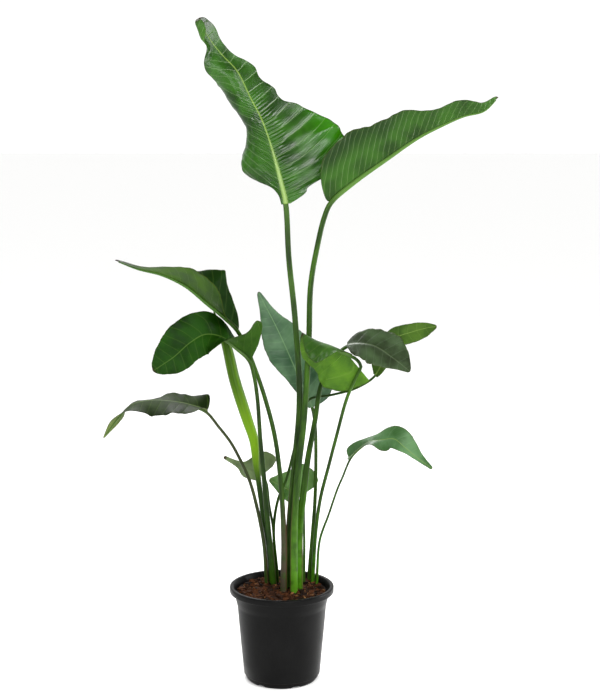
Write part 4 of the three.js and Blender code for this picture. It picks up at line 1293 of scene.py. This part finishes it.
@dataclass
class PottingMix:
    """The filling of the pot: a bed with an uneven top, and loose chips and fibres lying on it."""

    bed_finish: BarkFinish
    chip_finish: BarkFinish
    level: float = 206.5
    radius: float = 105.3
    chips: int = 1500
    fibres: int = 160
    seed: int = 24
    bed_tone: float = 0.12
    bed_sides: int = 120
    bed_rings: int = 22
    bed_gap: float = 0.3
    bed_grain: float = 1.2
    bed_grain_scale: float = 160.0
    crumb_share: float = 0.62
    crumb_length: tuple[float, float] = (2.5, 6.0)
    chip_length: tuple[float, float] = (7.0, 15.0)
    chip_width: tuple[float, float] = (0.4, 0.8)
    chip_depth: tuple[float, float] = (0.22, 0.5)
    chip_rise: float = 0.4
    chip_tones: tuple[float, float] = (1.5, 3.2)
    fibre_length: tuple[float, float] = (9.0, 22.0)
    fibre_thickness: float = 0.5
    fibre_rise: float = 1.2
    fibre_tones: tuple[float, float] = (0.6, 1.0)
    unevenness: float = 0.16
    tilts: tuple[float, float] = (0.35, 0.3)
    rim_gap: float = 3.0

    @staticmethod
    def height(x: float, y: float) -> float:
        """Height of the bed over its level: low mounds with shorter lumps on them."""
        mounds = 2.6 * math.sin(x / 19 + 0.7) * math.cos(y / 23 - 0.4)
        lumps = 1.6 * math.sin(x / 7.3 - y / 9.1) * math.sin(y / 6.4 + x / 15)
        return mounds + lumps

    def build(self) -> list[Object]:
        """Makes the bed and the chips."""
        return [self._bed(), self._chips()]

    def _bed(self) -> Object:
        """The bed, as a closed body that fills the pot."""
        walls = ((74, 6.4), (84.5, 10), (89.5, 50), (93, 88), (96.8, 130), (100.2, 172), (101, 178),
            (103.6, 189))
        turns = [side / self.bed_sides for side in range(self.bed_sides)]
        rings = [[self._around(radius, height, turn) for turn in turns] for radius, height in walls]
        for index in range(self.bed_rings):
            radius = self.radius * (1 - index / self.bed_rings) - self.bed_gap
            ring = []
            for turn in turns:
                point = self._around(radius, self.level, turn)
                lift = self.height(point.x / MM, point.y / MM) if index > 0 else 0.0
                fine = self.bed_grain * noise.noise(point * self.bed_grain_scale)
                ring.append(point + Vector((0, 0, (lift + fine * (index > 0)) * MM)))
            rings.append(ring)
        bm = bmesh.new()
        tone = bm.verts.layers.float.new("tone")
        loft(bm, rings)
        for vert in bm.verts:
            vert[tone] = self.bed_tone
        return finished("potting_mix_bed", bm, [self.bed_finish.material()], "potting_mix")

    @staticmethod
    def _around(radius: float, height: float, share: float) -> Vector:
        """Point at a radius and height, a share of the way round."""
        angle = math.tau * share
        return Vector((radius * math.cos(angle), radius * math.sin(angle), height)) * MM

    def _chips(self) -> Object:
        """Loose bark chips, crumbs and coir fibres on the bed."""
        draw = random.Random(self.seed)
        bm = bmesh.new()
        tone = bm.verts.layers.float.new("tone")
        spread = self.radius - self.rim_gap
        for index in range(self.chips + self.fibres):
            fibre = index >= self.chips
            radius, angle = spread * math.sqrt(draw.random()), draw.uniform(0, math.tau)
            x, y = radius * math.cos(angle), radius * math.sin(angle)
            if fibre:
                size = Vector((draw.uniform(*self.fibre_length), self.fibre_thickness, self.fibre_thickness))
            else:
                crumb = draw.random() < self.crumb_share
                long = draw.uniform(*(self.crumb_length if crumb else self.chip_length))
                wide = draw.uniform(*self.chip_width)
                size = Vector((long, long * wide, long * draw.uniform(*self.chip_depth)))
            made = bmesh.ops.create_cube(bm, size=1.0)["verts"]
            for vert in made:
                jitter = Vector([draw.uniform(-self.unevenness, self.unevenness) for _ in range(3)])
                vert.co = Vector([(c + j) * s for c, j, s in zip(vert.co, jitter, size)]) * MM
            turn = Matrix.Rotation(draw.uniform(0, math.tau), 3, "Z")
            for tilt, axis in zip(self.tilts, "XY"):
                turn = turn @ Matrix.Rotation(draw.gauss(0, tilt), 3, axis)
            bmesh.ops.rotate(bm, verts=made, cent=(0, 0, 0), matrix=turn)
            rise = self.level + self.height(x, y) + draw.uniform(0.0, 0.4) * size.z
            rise += self.fibre_rise if fibre else self.chip_rise
            inward = min(1.0, (spread - 2) / max(1e-6, radius + size.x / 2))
            bmesh.ops.translate(bm, verts=made, vec=Vector((x * inward, y * inward, rise)) * MM)
            shade = draw.uniform(*self.fibre_tones) if fibre else draw.betavariate(*self.chip_tones)
            for vert in made:
                vert[tone] = shade
        chips = [self.chip_finish.material()]
        return finished("potting_mix_chips", bm, chips, "potting_mix", smooth=False)


# The studio


@dataclass(frozen=True)
class Softbox:
    """A large soft light: where it stands, the point it faces, its size in metres, its power."""

    name: str
    place: Point
    aim: Point
    size: tuple[float, float]
    power: float


SOFTBOXES = (
    Softbox("key_softbox", (2.3, -2.4, 3.0), (0, 0, 0.9), (1.1, 1.6), 80),
    Softbox("front_right_softbox", (0.75, -3.2, 1.35), (0, 0, 1.2), (0.8, 1.1), 52),
    Softbox("front_left_softbox", (-0.75, -3.1, 1.75), (-0.1, 0, 1.2), (0.5, 0.9), 30),
    Softbox("side_softbox", (2.6, 0.5, 0.9), (0, 0, 0.5), (0.5, 1.6), 60),
    Softbox("fill_softbox", (-2.6, -1.8, 2.4), (0, 0, 0.9), (0.8, 1.8), 14),
    Softbox("rear_softbox", (-0.6, 2.4, 2.8), (0, 0, 1.1), (1.8, 1.2), 70),
)


@dataclass
class Studio:
    """The photographer's side: the camera, a pale floor and soft lights."""

    camera_place: Point = (0.042, -3.815, 1.445)
    camera_down: float = 10.0
    lens: float = 88.46
    sensor: float = 36.0
    view_end: float = 50.0
    overhead_power: float = 1.65
    overhead_spread: float = 60.0
    overhead_tilt: tuple[float, float] = (12.0, -14.0)

    @staticmethod
    def _linked(name: str, data: ID) -> Object:
        """A new object in the scene."""
        made = bpy.data.objects.new(name, data)
        bpy.context.scene.collection.objects.link(made)
        return made

    def camera(self) -> None:
        """Makes the camera at the photograph's place."""
        data = bpy.data.cameras.new("camera")
        data.lens = self.lens
        data.sensor_width = self.sensor
        data.clip_end = self.view_end
        camera = self._linked("camera", data)
        camera.location = self.camera_place
        camera.rotation_euler = (math.radians(90 - self.camera_down), 0, 0)
        bpy.context.scene.camera = camera

    def floor(self) -> None:
        """Makes the pale floor."""
        bm = bmesh.new()
        bmesh.ops.create_grid(bm, x_segments=1, y_segments=1, size=20)
        mesh = bpy.data.meshes.new("floor")
        bm.to_mesh(mesh)
        bm.free()
        mesh.materials.append(PaperFinish().material())
        self._linked("floor", mesh)

    def lights(self) -> None:
        """Makes the soft lights and the surroundings, white behind the plant and dim in front."""
        for box in SOFTBOXES:
            data = bpy.data.lights.new(box.name, "AREA")
            data.shape = "RECTANGLE"
            data.size, data.size_y = box.size
            data.energy = box.power
            light = self._linked(box.name, data)
            light.location = box.place
            light.rotation_euler = (Vector(box.aim) - Vector(box.place)).to_track_quat("-Z", "Y").to_euler()
        sun = bpy.data.lights.new("overhead_bank", "SUN")
        sun.energy = self.overhead_power
        sun.angle = math.radians(self.overhead_spread)
        overhead = self._linked("overhead_bank", sun)
        overhead.rotation_euler = (*(math.radians(tilt) for tilt in self.overhead_tilt), 0)
        overhead.visible_glossy = False
        bpy.context.scene.view_settings.view_transform = "Standard"
        bpy.context.scene.world = self._surroundings()

    @staticmethod
    def _surroundings() -> World:
        """A white backdrop that fades to a dim room behind the camera."""
        world = bpy.data.worlds.new("studio")
        world.use_nodes = True
        tree = world.node_tree
        direction = add(tree, "ShaderNodeTexCoord").outputs["Generated"]
        depth = add(tree, "ShaderNodeSeparateXYZ", {0: direction}).outputs[1]
        background = tree.nodes["Background"].inputs
        background["Color"].default_value = (1, 1, 1, 1)
        tree.links.new(ranged(tree, depth, -0.5, 0.75, 0.18, 1.1), background["Strength"])
        return world


@dataclass(frozen=True)
class LeafLook:
    """How one open leaf looks: the details and the finishes of its blade and its stalk."""

    blade: BladeDetail
    face: LeafFinish
    stalk: StalkDetail
    skin: StalkFinish = StalkFinish()


LOOKS: dict[str, LeafLook] = {
    "tall_left_leaf": LeafLook(
        BladeDetail(pleat=2.0, pleat_fade=0.85, ruffle=4.5, dry_tip=4, rib_share=0.62, vein_lean=(1.1, 0.15)),
        LeafFinish(
            # The outer colour is a painted glow of backlight over the blade's outer parts.
            upper_dark="#143105", upper_light="#2b5a0c", under_dark="#2a5210", under_light="#477a1c",
            vein="#86a868", midrib="#7b9844", upper_roughness=0.2, outer="#2d7203", outer_painted_light_share=0.85,
            outer_painted_light_run=(70, 140), specular=0.4, vein_spacing=26, vein_strength=0.27, fine_strength=0.2,
            waver=5, rib_pleat=1.1, translucency=0.12,
        ),
        StalkDetail(330, 2.2),
        StalkFinish(green="#152808", pale="#304e12"),
    ),
    "tall_right_leaf": LeafLook(
        BladeDetail(pleat=1.1, ruffle=2.0, dry_tip=6, vein_lean=(0.75, 0.75)),
        LeafFinish(
            # The outer colour is painted shade over the blade's outer parts, where they bend away from the
            # light.
            under_dark="#173107", under_light="#2d5512", vein="#86a45c", under_roughness=0.36,
            specular=0.18, outer="#0f2603", outer_painted_light_share=0.9, outer_painted_light_run=(40, 90), vein_spacing=16,
            vein_strength=0.19, fine_strength=0.35, waver=8, cockle=1.6,
        ),
        StalkDetail(320, 2.2),
        StalkFinish(foot="#426f14", foot_top=0.5, foot_share=0.8, rib="#456627"),
    ),
    "upper_left_leaf": LeafLook(
        BladeDetail(pleat=0.25, ruffle=1.4, dry_tip=10),
        LeafFinish(
            under_dark="#1f3c05", under_light="#37570c", upper_dark="#0b1d03", upper_light="#112b06",
            midrib="#4a6929", dry="#241410", translucency=0.05, specular=0.06, vein_strength=0.1,
        ),
        StalkDetail(300, 2.4, 1.0),
        StalkFinish(foot="#3c352a", foot_top=0.5, foot_share=0.85, rib="#3f6224"),
    ),
    "middle_left_leaf": LeafLook(
        BladeDetail(pleat=0.3, ruffle=1.0, dry_tip=4, rib_share=0.3),
        LeafFinish(
            upper_dark="#0c2303", upper_light="#1c4009", under_dark="#1c370a", under_light="#2d4d13",
            midrib="#486628", vein_strength=0.1, specular=0.06,
        ),
        StalkDetail(200, 1.4),
        StalkFinish(green="#112405", pale="#29450c"),
    ),
    "lowest_left_leaf": LeafLook(
        BladeDetail(pleat=0.3, ruffle=1.6, dry_tip=3),
        LeafFinish(
            upper_dark="#131e09", upper_light="#283717", under_dark="#4a5a2c", under_light="#6a7a44",
            margin="#25281a", upper_roughness=0.4, specular=0.05, vein_strength=0.1,
        ),
        StalkDetail(180, 1.2),
        StalkFinish(green="#1e260f", pale="#3d4724", foot="#26400e"),
    ),
    "rear_upright_leaf": LeafLook(
        BladeDetail(pleat=0.4, ruffle=1.0, dry_tip=2),
        LeafFinish(
            upper_dark="#2b4a30", upper_light="#557653", vein="#7d9e78", midrib="#6a8c5e",
            margin="#4c4146", upper_roughness=0.36,
        ),
        StalkDetail(160, 1.0),
    ),
    "middle_centre_leaf": LeafLook(
        BladeDetail(pleat=0.6, ruffle=2.2, dry_tip=7),
        LeafFinish(
            under_dark="#385f0d", under_light="#5a861b", vein="#86a84a", upper_dark="#294a14",
            upper_light="#436c24", translucency=0.35,
        ),
        StalkDetail(160, 1.0),
        StalkFinish(foot="#3a7010"),
    ),
    "middle_right_leaf": LeafLook(
        BladeDetail(pleat=0.7, ruffle=1.2, dry_tip=2),
        LeafFinish(
            upper_dark="#1a230f", upper_light="#384b2d", vein="#586850", midrib="#4b5c3a",
            upper_roughness=0.34, vein_strength=0.2,
        ),
        StalkDetail(220, 1.6),
        StalkFinish(green="#132805", pale="#2d4b0c", foot="#437a0e", foot_top=0.5, foot_share=0.8),
    ),
    "far_right_leaf": LeafLook(
        BladeDetail(pleat=0.3, ruffle=0.8, dry_tip=1.5),
        LeafFinish(upper_dark="#28430f", upper_light="#415f1a", midrib="#6b873c", upper_roughness=0.4),
        StalkDetail(140, 0.8),
    ),
    "lower_right_leaf": LeafLook(
        BladeDetail(pleat=0.4, ruffle=0.8, dry_tip=2),
        LeafFinish(upper_dark="#315229", upper_light="#507549", vein="#6c8a60"),
        StalkDetail(140, 0.8),
        StalkFinish(foot="#3a7010"),
    ),
    "small_rear_leaf": LeafLook(
        BladeDetail(pleat=0.3, ruffle=1.2, dry_tip=9),
        LeafFinish(upper_dark="#43552f", upper_light="#66794d", midrib="#5a6c44"),
        StalkDetail(140, 0.8),
    ),
    "small_round_leaf": LeafLook(
        BladeDetail(pleat=0.5, ruffle=0.8, dry_tip=2),
        LeafFinish(upper_dark="#3c6327", upper_light="#618845", vein="#7f9570"),
        StalkDetail(140, 0.8),
    ),
}
FIRST_LEAF_SEED = 11


def report(what: str, *pieces: Object) -> None:
    """Logs the pieces of one part of the scene."""
    for piece in pieces:
        log.info("%s: %s, %d faces", what, piece.name, len(piece.data.polygons))


def main() -> None:
    """Builds the studio and every piece of the plant in order, and notes the sizes."""
    logging.basicConfig(level=logging.INFO, format="%(message)s")
    studio = Studio()
    studio.camera()
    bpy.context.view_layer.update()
    studio.floor()
    studio.lights()
    report("pot", Pot(PotFinish()).build())
    mix = PottingMix(BarkFinish("potting_mix_bed", middle="#24140b"), BarkFinish("bark_chips"))
    report("potting mix", *mix.build())
    for seed, plan in enumerate(LEAVES, start=FIRST_LEAF_SEED):
        look = LOOKS[plan.name]
        report("stalk", Stalk(plan, look.stalk, look.skin).build())
        report("blade", Blade(plan, look.blade, look.face, seed).build())
    report("rolled leaf", RolledLeaf(ROLLED_LEAF, YoungLeafFinish()).build())
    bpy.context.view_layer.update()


if __name__ == "__main__":
    main()
